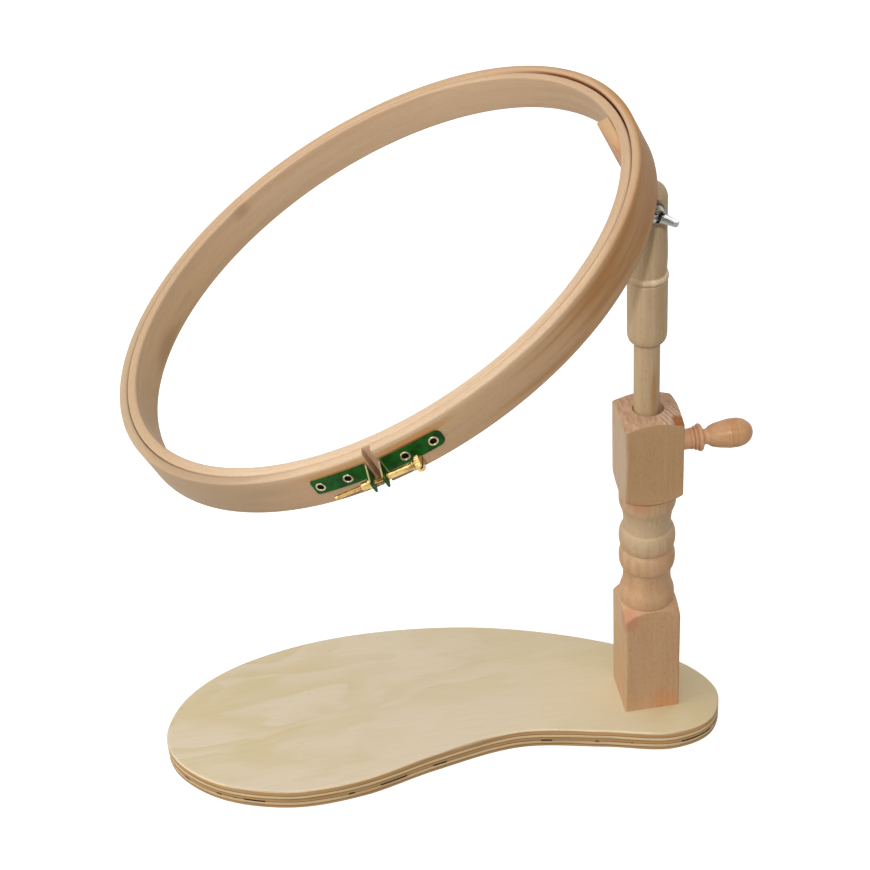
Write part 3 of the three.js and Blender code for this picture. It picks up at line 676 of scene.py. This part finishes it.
HEAD_WOOD = wood(
    "head_wood", srgb(204, 178, 146), srgb(184, 154, 120), srgb(194, 174, 138),
    tints=[
        # Painted highlight: a pale band on the front and right of the bead.
        ((TO_BEAD + 0.6, 6, -8), (2.2, 13, 16), srgb(240, 222, 192), 0.85),
        ((TO_PIVOT, 0, 0), (34, 60, 60), srgb(188, 166, 134), 0.7),
    ],
)
KNOB_WOOD = wood(
    "knob_wood", srgb(208, 166, 121), srgb(192, 143, 99), srgb(208, 146, 111),
    flecks=0.2, gloss=0.42, coat=0.1,
    tints=[
        # Painted light: collar, bead and neck paler, against the post's shade.
        ((25, 0, 0), (12, 40, 40), srgb(214, 166, 130), 0.8),
        ((62, 0, 0), (9, 40, 40), srgb(198, 144, 107), 0.7),
    ],
)
INNER_WOOD = wood(
    "inner_wood", srgb(210, 180, 148), srgb(192, 158, 124), srgb(202, 168, 136),
    pith=(14, 90), ring_gap=1.7, rings=0.06, flecks=0.15, figure=0.6,
    tints=[
        # Painted light: the top near the front paler.
        ((329, 11.5, 2), (150, 4, 30), srgb(232, 206, 176), 0.75),
        # Painted shade: dark brown high on the inner ring's outer face, in the gap between the rings.
        ((660, 8, 5.3), (85, 9, 0.9), srgb(140, 70, 20), 0.95),
        # Painted light: the inner wall on the far side paler.
        ((823, -2, -1), (190, 14, 2.6), srgb(208, 180, 149), 0.8),
        # Painted shade: the top on the left darker.
        *[((start, 11.5, 3), (150, 4, 30), srgb(198, 168, 134), 0.8) for start in (82, 1070)],
        # Painted light: the inner wall on the left paler.
        *[((start, -3, -1), (160, 14, 2.6), srgb(212, 178, 134), 0.8) for start in (82, 1070)],
        ((926, 8, -1), (10, 5, 2.6), srgb(158, 114, 78), 0.5),
        ((44, -6, -1), (26, 7, 2.6), srgb(166, 128, 88), 0.6),
    ],
)
OUTER_WOOD = wood(
    "outer_wood", srgb(210, 178, 142), srgb(192, 158, 124), srgb(206, 170, 138),
    pith=(14, 90), ring_gap=1.7, rings=0.06, flecks=0.15, figure=0.7,
    tints=[
        # Painted shade: the outer face on the right side darker and warmer.
        ((290, -4, 11.5), (235, 34, 4), srgb(166, 115, 58), 0.95),
        # Painted light: the top near the front paler, on both sides of the split.
        ((20, 11.5, 5), (150, 4, 40), srgb(230, 202, 170), 0.75),
        ((968, 11.5, 5), (110, 4, 40), srgb(230, 202, 170), 0.7),
        ((20, 6.6, 10), (26, 2.6, 8), srgb(206, 146, 84), 0.85),
        ((970, 7.6, 10), (26, 2.4, 8), srgb(208, 154, 94), 0.75),
        # Painted shadow: a dark line on the ring just above the right plate.
        ((15, 5, 10), (20, 0.9, 8), srgb(112, 66, 34), 0.8),
        # Painted shade: the split's end faces darker, most low down.
        ((2.3, -5, 8), (1.6, 9, 12), srgb(150, 100, 66), 0.8),
        ((986, -5, 8), (1.6, 9, 12), srgb(136, 88, 56), 0.8),
        # Painted shade: dark brown high on the outer ring's inner face, in the gap between the rings.
        ((330, 8, 5.8), (85, 9, 0.9), srgb(140, 70, 20), 0.95),
        ((760, 0, 8), (150, 60, 30), srgb(192, 168, 138), 0.85),
        ((880, 0, 10), (70, 60, 30), srgb(176, 150, 120), 0.8),
        # Painted shadow: a dark line on the ring just above the left plate.
        ((974, 6, 10), (18, 0.7, 8), srgb(140, 92, 50), 0.6),
    ],
)
BLOCK_WOOD = wood(
    "block_wood", srgb(216, 182, 140), srgb(198, 158, 116), srgb(208, 160, 120),
    tints=[
        ((-36, 142, 9), (14, 10, 12), srgb(206, 142, 102), 0.7),
        ((-22, 138.6, 0), (60, 1.7, 30), srgb(216, 158, 116), 0.8),
    ],
)
PAD_WOOD = wood("pad_wood", srgb(160, 122, 80), srgb(130, 94, 58), srgb(150, 106, 70))
END_GRAIN = end_grain("end_grain", srgb(200, 164, 134), srgb(176, 136, 108), srgb(158, 100, 52))
VENEER = veneer("veneer", srgb(217, 202, 176), srgb(203, 184, 134), srgb(184, 156, 118))
# The first colour is the face layer, with a painted highlight on the eased edge.
PLY_EDGE = ply_edge(
    "ply_edge", srgb(232, 214, 180), srgb(224, 200, 156), srgb(190, 150, 102), srgb(104, 70, 40),
)
BRASS = metal("brass", srgb(214, 184, 120), srgb(136, 106, 56), 0.2)
PALE_BRASS = metal("pale_brass", srgb(184, 174, 142), srgb(124, 112, 82), 0.24)
DARK_ZINC = metal("dark_zinc", srgb(120, 114, 102), srgb(70, 66, 60), 0.3)
ZINC_PAINTED_GLINTS = painted_glint_metal("zinc_painted_glints")
STEEL = metal("steel", srgb(168, 172, 176), srgb(120, 122, 124), 0.35)
WORN = metal("worn_edge", srgb(140, 128, 94), srgb(92, 84, 60), 0.4)
GREEN = paint("green_paint", srgb(14, 84, 14), srgb(8, 52, 6))


# Stand

def board():
    outline = smooth_loop(BASE_OUTLINE, 16)
    count = len(outline)
    inward = []
    for i in range(count):
        (x0, y0), (x1, y1) = outline[i - 1], outline[(i + 1) % count]
        length = hypot(x1 - x0, y1 - y0)
        inward.append(((y1 - y0) / length, (x0 - x1) / length))
    eased = arc(0, 0, BASE_EASE, BASE_EASE, 90, 0, 5)
    levels = [(BASE_EASE - x, BASE_EASE - y) for y, x in eased[::-1]]
    levels += [(inset, BASE_T - z) for inset, z in levels[::-1]]
    bm = bmesh.new()
    rows = []
    for inset, z in levels:
        edge = [(x + nx * inset, y + ny * inset) for (x, y), (nx, ny) in zip(outline, inward)]
        rows.append([bm.verts.new((x, y, z)) for x, y in edge])
    skin(bm, rows)
    sinks = []
    for x in SCREW_PLACES:
        sink = lathe([(0, -1), (4.3, -1), (4.3, 0.4), (2.3, 3.3), (2.3, 10), (0, 10)], 48)
        sinks.append(("DIFFERENCE", turned_by(sink, Matrix.Translation((x, 0, 0)))))
    flat = (VENEER, lambda polygon: abs(polygon.normal.z) > 0.75)
    add_piece(
        "board", bm, STAND, "stand", "base_board", PLY_EDGE, lengthwise, sinks,
        second=flat,
    )


def base_screw(number, x):
    """A countersunk screw with a cross recess, seen from below."""
    shaft = [(2, 3)]
    for turn in range(24):
        z = 8 + turn * 1.4
        shaft += [(1.5, z), (2, z + 0.7)]
    screw = lathe([(0, 0.3), (3.7, 0.3), (4, 0.5), *shaft, (1.2, 42), (0, 45)], 32)
    arms = [block(-2, 2, -0.45, 0.45, -1, 1.8), block(-0.45, 0.45, -2, 2, -1, 1.8)]
    place = STAND @ Matrix.Translation((x, 0, 0))
    steps = [("DIFFERENCE", arm) for arm in arms]
    add_piece(f"screw_{number}", screw, place, "stand", f"base_screw_{number}", STEEL, steps=steps)


def post():
    """Square stock whose blocks run out into the turned part, with all their edges eased."""
    half = POST_SIDE / 2
    reach = POST_SIDE / sqrt(2) + 1
    corner = POST_TOP - POST_DOME - 0.6
    crown = smooth([
        (reach, corner - 4), (reach, corner), (half + 3.6, POST_TOP - 2.4), (half + 0.4, POST_TOP - 0.7),
    ], 10)
    profile = [
        (0, 0),
        (reach, 0),
        (reach, 40),
        *smooth([(reach, 66), (reach, 69.9), (half + 3.2, 76.6), (half - 0.2, 79)], 10),
        (15.7, 79.1),
        (15.7, 79.6),
        *smooth([(16.4, 79.7), (16.4, 85), (14.8, 91), (14.2, 97), (14.6, 102.4)], 6),
        *arc(14.5, 110.5, 2.2, 7, -74, 78, 18),
        (14.4, 118),
        *arc(14.5, 125.5, 2.2, 7, -78, 74, 18),
        *smooth([(14.2, 133), (14, 138.5), (14.9, 145.5), (16.5, 150.6), (16.7, 154)], 6),
        (16.7, 157.9),
        (16.4, 158.2),
        (14.8, 158.3),
        (14.8, 158.9),
        (half - 0.4, 159),
        *smooth([(half, 159.4), (half + 3.4, 161.3), (reach, 165.5), (reach, 170)], 10),
        (reach, 190),
        *crown[:-1],
        *smooth([(half + 0.4, POST_TOP - 0.7), (12, POST_TOP - 0.1), (9.4, POST_TOP)], 6),
        (0, POST_TOP),
    ]

    def squared(angle, radius):
        """How far a turned radius is cut back to the rounded square, with an eased edge."""
        quarter = (angle + pi / 4) % (pi / 2) - pi / 4
        flat = half / cos(quarter)
        round_at = half - POST_CORNER
        aside = abs(quarter) - pi / 4
        if half * abs(sin(quarter)) / cos(quarter) > round_at:
            middle = round_at * sqrt(2)
            flat = middle * cos(aside) + sqrt(POST_CORNER ** 2 - (middle * sin(aside)) ** 2)
        gap = (radius - flat) / POST_EASE
        if gap < -1:
            return 0
        if gap > 1:
            return flat - radius
        return flat - POST_EASE * (1 - gap) ** 2 / 4 - radius

    bm = lathe(profile, 320, ripple=squared)
    bore = [
        (0, BORE_FOOT), (BORE_R, BORE_FOOT), (BORE_R, POST_TOP - 1.2), (BORE_R + 0.6, POST_TOP + 0.2),
        (BORE_R + 0.6, 230), (0, 230),
    ]
    knob_hole = turned_by(rod(KNOB_HOLE_R, 0, POST_SIDE, 64), Matrix.Translation((0, 0, KNOB_H)) @ TO_X)
    steps = [("DIFFERENCE", lathe(bore)), ("DIFFERENCE", knob_hole)]

    def crosscut(polygon):
        return polygon.normal.z > 0.45 and polygon.center.z > POST_TOP - 12

    add_piece(
        "post_turned", bm, POST, "stand", "post", POST_WOOD,
        steps=steps, second=(END_GRAIN, crosscut),
    )


def knob():
    face = POST_SIDE / 2
    bulb = smooth([
        (5.2, face + 15), (4.5, face + 16.4), (5, face + 17.9), (6, face + 19.2), (7.2, face + 22.8),
        (8.1, face + 28), (8.5, face + 30),
    ], 6)
    lines = []
    for z in (face + 30.4, face + 31.9, face + 33.4):
        lines += [(8.5, z), (8.22, z + 0.25), (8.5, z + 0.5)]
    tip = arc(0, face + 34.2, 8.5, 10, 0, 90, 16)[:-1]
    profile = [
        (0, 9.75),
        (5.8, 9.75),
        (5.8, face + 0.3),
        (6.3, face + 0.3),
        *smooth([(6.4, face + 0.8), (6, face + 3.4), (6.05, face + 7)], 5),
        (5.7, face + 7.3),
        *arc(5.9, face + 8.3, 0.4, 0.9, -70, 70, 6),
        (5.7, face + 9.3),
        *arc(6.1, face + 10.4, 1, 0.9, -80, 60, 8),
        (6.5, face + 11.4),
        *arc(6.4, face + 12.9, 1.75, 1.6, -84, 84, 14),
        *bulb,
        *lines,
        *tip,
        (0, face + 44.2),
    ]
    add_piece("knob", lathe(profile, 96), CLAMP, "clamp_knob", "clamp_knob", KNOB_WOOD)


def pad():
    """The button at the inner end of the clamp screw, with eased rims."""
    start = STEM_SHIFT + DOWEL_R + 0.3
    rims = [*arc(4.6, start + 0.4, 0.4, 0.4, -90, 0, 4), *arc(4.6, start + 2.1, 0.4, 0.4, 0, 90, 4)]
    profile = [(0, start), *rims, (0, start + 2.5)]
    add_piece("pad", lathe(profile, 48), CLAMP, "clamp_pad", "clamp_pad", PAD_WOOD)


# Stem and pivot

def dowel():
    foot = arc(6.25, 1, 1, 1, -90, 0, 4)
    profile = [(0, 0), (6.25, 0), *foot, (DOWEL_R, DOWEL_LENGTH), (0, DOWEL_LENGTH)]
    place = STEM @ Matrix.Translation((0, 0, DOWEL_FOOT_Z))
    add_piece("dowel", lathe(profile, 96), place, "stem", "stem_dowel", DOWEL_WOOD)


def head():
    dome = TO_PIVOT + 3.5
    profile = [
        (0, 0),
        *smooth([(8, 0), (9.2, 0.5), (10.2, 1.7), (10.8, 3.6), (HEAD_R, 6.2), (HEAD_R, 9)], 5),
        (HEAD_R, TO_BEAD - 2.9),
        (10.5, TO_BEAD - 2.5),
        (10.5, TO_BEAD - 2.1),
        *arc(10.5, TO_BEAD, 0.95, 1.9, -80, 80, 12),
        (10.3, TO_BEAD + 2.2),
        *smooth([
            (10.4, TO_BEAD + 2.8), (10.5, TO_BEAD + 6), (10.7, TO_BEAD + 14), (TONGUE_R, TO_BEAD + 27),
        ], 6),
        *arc(0, dome, TONGUE_R, TONGUE_R, 0, 90, 20)[:-1],
        (0, dome + TONGUE_R),
    ]
    at_pivot = (0, 0, TO_PIVOT)
    steps = [
        ("DIFFERENCE", rod(DOWEL_R + 0.3, -5, 20)),
        ("DIFFERENCE", block(-16, 16, -LAP_HALF, 16, TO_PIVOT - LAP_DROP, dome + 16)),
        ("DIFFERENCE", lying(rod(WASHER_R + 0.8, SPOT_FACE, 16, 64), at_pivot)),
        ("DIFFERENCE", lying(rod(HOLE_R, -16, 16), at_pivot)),
    ]
    add_piece("head", lathe(profile, 128), HEAD, "head", "stem_head", HEAD_WOOD, steps=steps)


def bolt():
    thread = []
    for turn in range(9):
        thread += [(BOLT_R, 5.8 + turn), (2.6, 6.3 + turn)]
    profile = [
        (0, -14.1),
        *arc(0, -11.3, 7, 2.8, -90, 0, 10)[1:],
        (7, -10.5),
        (BOLT_R, -10.5),
        *thread,
        (2.6, 15.2),
        (0, 15.4),
    ]
    add_piece("bolt", lathe(profile, 48), PIVOT, "hoop", "pivot_bolt", DARK_ZINC)


def washer():
    rim = [(HOLE_R, 0.2), (HOLE_R + 0.2, 0), (WASHER_R - 0.2, 0), (WASHER_R, 0.2)]
    rim += [(WASHER_R, 1), (WASHER_R - 0.2, 1.2), (HOLE_R + 0.2, 1.2), (HOLE_R, 1)]
    place = PIVOT @ Matrix.Translation((0, 0, WASHER_Z))
    shape = lathe(rim, 64, closed=True)
    add_piece("washer", shape, place, "pivot_washer", "pivot_washer", DARK_ZINC)


def wing_nut():
    """A cast nut: a tapered hub with two upswept wings that thicken towards it."""
    hub = lathe([
        (HOLE_R, 0), (4.8, 0), (5, 0.3), (5, 1.5), *smooth([(4.7, 2.6), (4.3, 4), (4.2, 5.2)], 4),
        (3.9, 5.6), (HOLE_R, 5.6),
    ], 48, closed=True)
    wing = [
        (3.5, 1.9), (9.9, 9), *smooth([(10.1, 9.3), (10.3, 10), (9.7, 10.8)], 4),
        (8.5, 11.8), *smooth([(8.2, 12), (7.4, 11.9), (6.5, 11.4)], 4), (2.6, 8.4), (1, 7.4), (1, 5.8),
    ]
    right = prism(wing, -1.4, 1.4)
    for corner in right.verts:
        corner.co.z *= 1 + 0.1 * max(0, 6 - corner.co.x)
    lying(right)
    left = turned_by(right.copy(), Matrix.Rotation(pi, 4, "Z"))
    place = PIVOT @ Matrix.Translation((0, 0, NUT_Z)) @ Matrix.Rotation(-radians(NUT_REST), 4, "Z")

    def cast(polygon):
        """The hub, which is darker than the wings."""
        at = polygon.center
        return hypot(at.x, at.y) < 5.1 and at.z < 5.7

    add_piece(
        "wing_nut_cast", merged(hub, right, left), place, "wing_nut", "wing_nut", ZINC_PAINTED_GLINTS,
        bevel=0.55, second=(DARK_ZINC, cast),
    )


# Hoop

def section(inner, outer):
    """A ring's section: a rectangle with round corners, as (radius, height) pairs."""
    ease = RING_EDGE
    top = RING_DEPTH / 2 - ease
    corners = [
        (outer - ease, -top, -90), (outer - ease, top, 0),
        (inner + ease, top, 90), (inner + ease, -top, 180),
    ]
    return [point for r, z, turn in corners for point in arc(r, z, ease, ease, turn, turn + 90, 4)]


def swell(angle, middle, width, height):
    """A soft hump round the ring, with its middle and width in degrees."""
    turn = (angle - radians(middle) + pi) % (2 * pi) - pi
    return height * exp(-(turn / radians(width)) ** 2)


def waver(angle):
    """How far the line between the rings runs inward, most where the outer one is thickest."""
    return swell(angle, 92, 42, 1.9)


def slack(angle):
    """How far the inner ring stands off the outer one, most on the far uphill side."""
    return swell(angle, 29, 27, 0.95)


def inner_ring():
    def drawn_in(angle, radius):
        share = (radius - INNER_INNER_R) / (INNER_R - INNER_INNER_R)
        return -share * (waver(angle) + slack(angle))

    ring = lathe(section(INNER_INNER_R, INNER_R), RING_STEPS, closed=True, ripple=drawn_in)
    add_piece("inner_bent", ring, SPLIT, "hoop", "inner_ring", INNER_WOOD, round_ring(150))


def outer_ring():
    """Swept from one side of the split to the other, with the eyelets' holes."""
    outline = section(OUTER_INNER_R, OUTER_R)
    start = -pi / 2 + SPLIT_W / 2 / OUTER_R
    sweep = 2 * pi - SPLIT_W / OUTER_R
    bm = bmesh.new()
    rows = []
    for i in range(RING_STEPS + 1):
        angle = start + sweep * i / RING_STEPS
        row = []
        for r, z in outline:
            r -= waver(angle) * (OUTER_R - r) / (OUTER_R - OUTER_INNER_R)
            row.append(bm.verts.new((r * cos(angle), r * sin(angle), z)))
        rows.append(row)
    skin(bm, rows)
    steps = [("DIFFERENCE", hole) for hole in eyelet_holes(EYELET_STEPS)]
    add_piece(
        "outer_bent", bm, SPLIT, "outer_hoop", "outer_ring", OUTER_WOOD,
        round_ring(-90), steps,
    )


def eyelet_turn(step):
    return Matrix.Rotation(step * EYELET_PITCH / OUTER_R, 4, "Z")


def eyelet_holes(steps):
    holes = []
    for step in steps:
        hole = lying(rod(EYELET_HOLE_R, 145, 170, 32), (0, 0, PLATE_RISES[step // abs(step)]))
        holes.append(turned_by(hole, eyelet_turn(step)))
    return holes


def eyelet(number, step):
    """A hollow rivet with a rolled rim."""
    rim = arc(2.1, 1.1, 0.48, 0.42, -20, 180, 12)
    profile = [(1.62, -4.7), (2.1, -4.7), (2.1, 1), *rim]
    rise = PLATE_RISES[step // abs(step)]
    place = SPLIT @ eyelet_turn(step) @ Matrix.Translation((0, -OUTER_R, rise)) @ TO_FRONT
    shape = lathe(profile, 40, closed=True)
    add_piece(f"rivet_{number}", shape, place, "outer_hoop", f"eyelet_{number}", PALE_BRASS)


def bracket():
    """The chord-faced block in the ring, its foot and the lug that the hoop tilts on."""
    seat = INNER_INNER_R - 0.3
    near = BLOCK_BLUNT - sqrt(seat ** 2 - BLOCK_FACE ** 2)
    far = BLOCK_FAR
    low = -RING_DEPTH / 2 - 0.3
    ends = [atan2(y, sqrt(seat ** 2 - y ** 2)) for y in (near, far)]
    turns = [ends[0] + (ends[1] - ends[0]) * i / 24 for i in range(25)]
    curved = [(seat * cos(a), seat * sin(a)) for a in turns]
    plan = [(BLOCK_FACE, near), *curved, (BLOCK_FACE, far)]
    lap = -SIDE_SHIFT + LAP_HALF
    foot_low = -RISE + 7.6
    outer = REACH + LUG_R
    at_lug = Matrix.Translation((REACH, lap, -RISE)) @ Matrix.Rotation(-pi / 2, 4, "X")
    lug = turned_by(rod(LUG_R, 0, LUG_T, 64), at_lug)
    steps = [
        ("UNION", block(BLOCK_FACE, outer, lap, far, foot_low, low)),
        ("UNION", block(BLOCK_FACE, outer, lap, lap + LUG_T, -RISE, foot_low + 1)),
        ("UNION", lug),
        ("DIFFERENCE", lying(rod(HOLE_R, -10, 60), (REACH, 0, -RISE))),
    ]
    shape = prism(plan, low - 2.5, RING_DEPTH / 2 - 3)
    add_piece(
        "bracket", shape, HOOP, "hoop", "hoop_bracket", BLOCK_WOOD, crosswise, steps,
        bevel=1.3,
    )


# Tension hardware

def plate(side, length, end_radius):
    """A strip of sheet from its ear's tip, round the bend and along the ring's face."""
    rise = PLATE_RISES[side]
    middle = PLATE_R + PLATE_T / 2
    x = EAR_X + PLATE_T / 2
    path = []
    ear_foot = middle + PLATE_BEND
    for i in range(15):
        path.append((x, -EAR_TIP_R + (EAR_TIP_R - ear_foot) * i / 14))
    path += arc(x + PLATE_BEND, -ear_foot, PLATE_BEND, PLATE_BEND, 180, 90, 6)[1:]
    start = (x + PLATE_BEND) / middle
    stop = length / OUTER_R
    for i in range(1, 41):
        angle = start + (stop - start) * (1 - (1 - i / 40) ** 1.6)
        path.append((middle * sin(angle), -middle * cos(angle)))
    ear_length = EAR_TIP_R - ear_foot
    end = sum(hypot(b[0] - a[0], b[1] - a[1]) for a, b in zip(path, path[1:]))
    rows = []
    bm = bmesh.new()
    done = 0
    for i, (px, py) in enumerate(path):
        before, after = path[max(i - 1, 0)], path[min(i + 1, len(path) - 1)]
        done += hypot(px - before[0], py - before[1])
        length_here = hypot(after[0] - before[0], after[1] - before[1])
        nx, ny = (before[1] - after[1]) / length_here, (after[0] - before[0]) / length_here
        share = max(0, 1 - done / ear_length)
        low = rise - PLATE_H / 2 + share * (-EAR_HALF - SCREW_DROP - rise + PLATE_H / 2)
        top = rise + PLATE_H / 2 + share * (EAR_HALF - SCREW_DROP - rise - PLATE_H / 2)
        inset = 0
        for radius, gone in ((1.4, done), (end_radius, end - done)):
            if gone < radius:
                inset = max(inset, radius - sqrt(max(radius ** 2 - (radius - gone) ** 2, 0)))
        front, back = [], []
        for k in range(5):
            z = low + inset + (top - low - 2 * inset) * k / 4
            front.append(bm.verts.new((side * (px + nx * PLATE_T / 2), py + ny * PLATE_T / 2, z)))
            back.append(bm.verts.new((side * (px - nx * PLATE_T / 2), py - ny * PLATE_T / 2, z)))
        rows.append(front + back[::-1])
    skin(bm, rows)
    at_screw = Matrix.Translation((0, -SCREW_R, -SCREW_DROP)) @ TO_X
    screw_hole = turned_by(rod(SCREW_HOLE_R, -9, 9, 32), at_screw)
    steps = [("DIFFERENCE", hole) for hole in [*eyelet_holes((side, 2 * side)), screw_hole]]
    name = "right" if side > 0 else "left"
    node = f"plate_{name}"

    def bare(polygon):
        """The ear's edges and the bend, where the paint is worn off."""
        at = polygon.center
        edge = abs(polygon.normal.z) > 0.6
        bent = at.y > -ear_foot - 0.4 and abs(polygon.normal.x) > 0.6
        return abs(at.x) < EAR_X + PLATE_T + 0.3 and (edge or bent)

    add_piece(
        f"{node}_bent", bm, SPLIT, "outer_hoop", node, GREEN, lengthwise, steps,
        second=(WORN, bare),
    )


def tension_screw():
    """A threaded rod with a collar and a knurled, slotted thumb head."""
    thread = []
    z = -22.6
    while z < 16.6:
        thread += [(1.1, z), (0.86, z + 0.3)]
        z += 0.6
    neck = SLEEVE_TO + 0.3
    profile = [
        (0, -23.8), (0.7, -23.8), (1, -23.2), *thread, (1.1, neck), (2.3, neck), (2.6, neck + 0.3),
        (2.6, neck + 0.9), (2.1, neck + 1.2), (2.1, neck + 1.5), (2.8, neck + 1.9), (3.6, neck + 2),
        (4, neck + 2.4), (KNURL_R, neck + 2.8), (KNURL_R, neck + 4.4), (3.9, neck + 4.7),
        (3.5, neck + 5), (0, neck + 5),
    ]

    def knurl(angle, radius):
        return 0.14 * cos(26 * angle) if radius == KNURL_R else 0

    shape = lathe(profile, 104, ripple=knurl)
    slot = block(-0.5, 0.5, -6, 6, neck + 3.8, neck + 8)
    add_piece(
        "thumb_screw", shape, TENSION, "tension_screw", "tension_screw", BRASS,
        steps=[("DIFFERENCE", slot)],
    )


def sleeve():
    ends = [(1.4, SLEEVE_FROM), (1.9, SLEEVE_FROM), (1.9, SLEEVE_FROM + 0.7), (1.7, SLEEVE_FROM + 0.9)]
    ends += [(1.7, SLEEVE_TO - 0.9), (1.9, SLEEVE_TO - 0.7), (1.9, SLEEVE_TO), (1.4, SLEEVE_TO)]
    shape = lathe(ends, 48, closed=True)
    add_piece("sleeve", shape, TENSION, "outer_hoop", "tension_sleeve", BRASS)


def tension_nut():
    profile = [
        (1.4, -9.6), (1.8, -9.6), (2, -9.3), (2, -6.6), (1.75, -6.4), (1.75, -6.2), (2.4, -6),
        (2.6, -5.7), (2.6, -4.2), (2.4, -4), (1.4, -4),
    ]
    shape = lathe(profile, 48, closed=True)
    add_piece("flange_nut", shape, TENSION, "tension_nut", "tension_nut", BRASS)


# Stage

def add_camera():
    data = bpy.data.cameras.new("camera")
    data.lens = CAMERA_LENS
    data.sensor_width = CAMERA_SENSOR
    data.clip_end = 20
    camera = add_object("camera", data)
    forward = CAMERA_FORWARD.normalized()
    right = (CAMERA_RIGHT - forward * CAMERA_RIGHT.dot(forward)).normalized()
    turn = Matrix((right, right.cross(forward), -forward)).transposed()
    camera.matrix_world = Matrix.Translation(CAMERA_PLACE) @ turn.to_4x4()
    bpy.context.scene.camera = camera


def background_rays(tree):
    """1 for the rays that show the background: from the camera, off gloss and through glass."""
    path = tree.nodes.new("ShaderNodeLightPath")
    seen = path.outputs["Is Camera Ray"]
    for name in ("Is Glossy Ray", "Is Transmission Ray"):
        either = tree.nodes.new("ShaderNodeMath")
        either.operation = "MAXIMUM"
        tree.links.new(seen, either.inputs[0])
        tree.links.new(path.outputs[name], either.inputs[1])
        seen = either.outputs[0]
    return seen


def add_floor():
    """A white floor: a glow for the rays that show it takes its lit part to white, and shadows stay."""
    bm = bmesh.new()
    bmesh.ops.create_grid(bm, x_segments=1, y_segments=1, size=6)
    floor = add_object("floor", to_mesh(bm))
    floor.location.z = FLOOR_Z
    s = Shader("floor")
    seen = background_rays(s.tree)
    s.set(Base_Color=s.mix(seen, FLOOR_BOUNCE, FLOOR_SEEN), Roughness=0.9, Specular_IOR_Level=0.0)
    s.set(Emission_Color=WHITE, Emission_Strength=s.math("MULTIPLY", seen, FLOOR_GLOW))
    floor.data.materials.append(s.material)


def add_lights():
    """Broad lamps overhead, at the left and behind, a sun from the front and a slightly warm fill."""
    world = bpy.data.worlds.new("world")
    world.use_nodes = True
    tree = world.node_tree
    fill = tree.nodes["Background"]
    fill.inputs["Color"].default_value = FILL_COLOUR
    fill.inputs["Strength"].default_value = FILL_STRENGTH
    white = tree.nodes.new("ShaderNodeBackground")
    white.inputs["Color"].default_value = WHITE
    white.inputs["Strength"].default_value = 1.0
    mix = tree.nodes.new("ShaderNodeMixShader")
    tree.links.new(background_rays(tree), mix.inputs["Fac"])
    tree.links.new(fill.outputs["Background"], mix.inputs[1])
    tree.links.new(white.outputs["Background"], mix.inputs[2])
    tree.links.new(mix.outputs["Shader"], tree.nodes["World Output"].inputs["Surface"])
    bpy.context.scene.world = world
    for name, place, size, energy in AREA_LAMPS:
        data = bpy.data.lights.new(name, "AREA")
        data.shape = "SQUARE"
        data.size = size
        data.energy = energy
        lamp = add_object(name, data)
        lamp.location = place
        lamp.rotation_euler = (LAMP_AIM - lamp.location).to_track_quat("-Z", "Y").to_euler()
    data = bpy.data.lights.new("front", "SUN")
    data.energy = SUN_ENERGY
    data.angle = radians(SUN_ANGLE)
    lamp = add_object("front", data)
    lamp.rotation_euler = SUN_DIRECTION.to_track_quat("-Z", "Y").to_euler()


add_camera()
add_floor()
add_lights()
board()
for number, x in enumerate(SCREW_PLACES, 1):
    base_screw(number, x)
post()
knob()
pad()
dowel()
head()
bolt()
washer()
wing_nut()
inner_ring()
outer_ring()
bracket()
for number, step in enumerate(EYELET_STEPS, 1):
    eyelet(number, step)
plate(-1, 33.8, 1.0)
plate(1, 35, 3.2)
tension_screw()
sleeve()
tension_nut()
bpy.context.scene.view_settings.view_transform = "Standard"
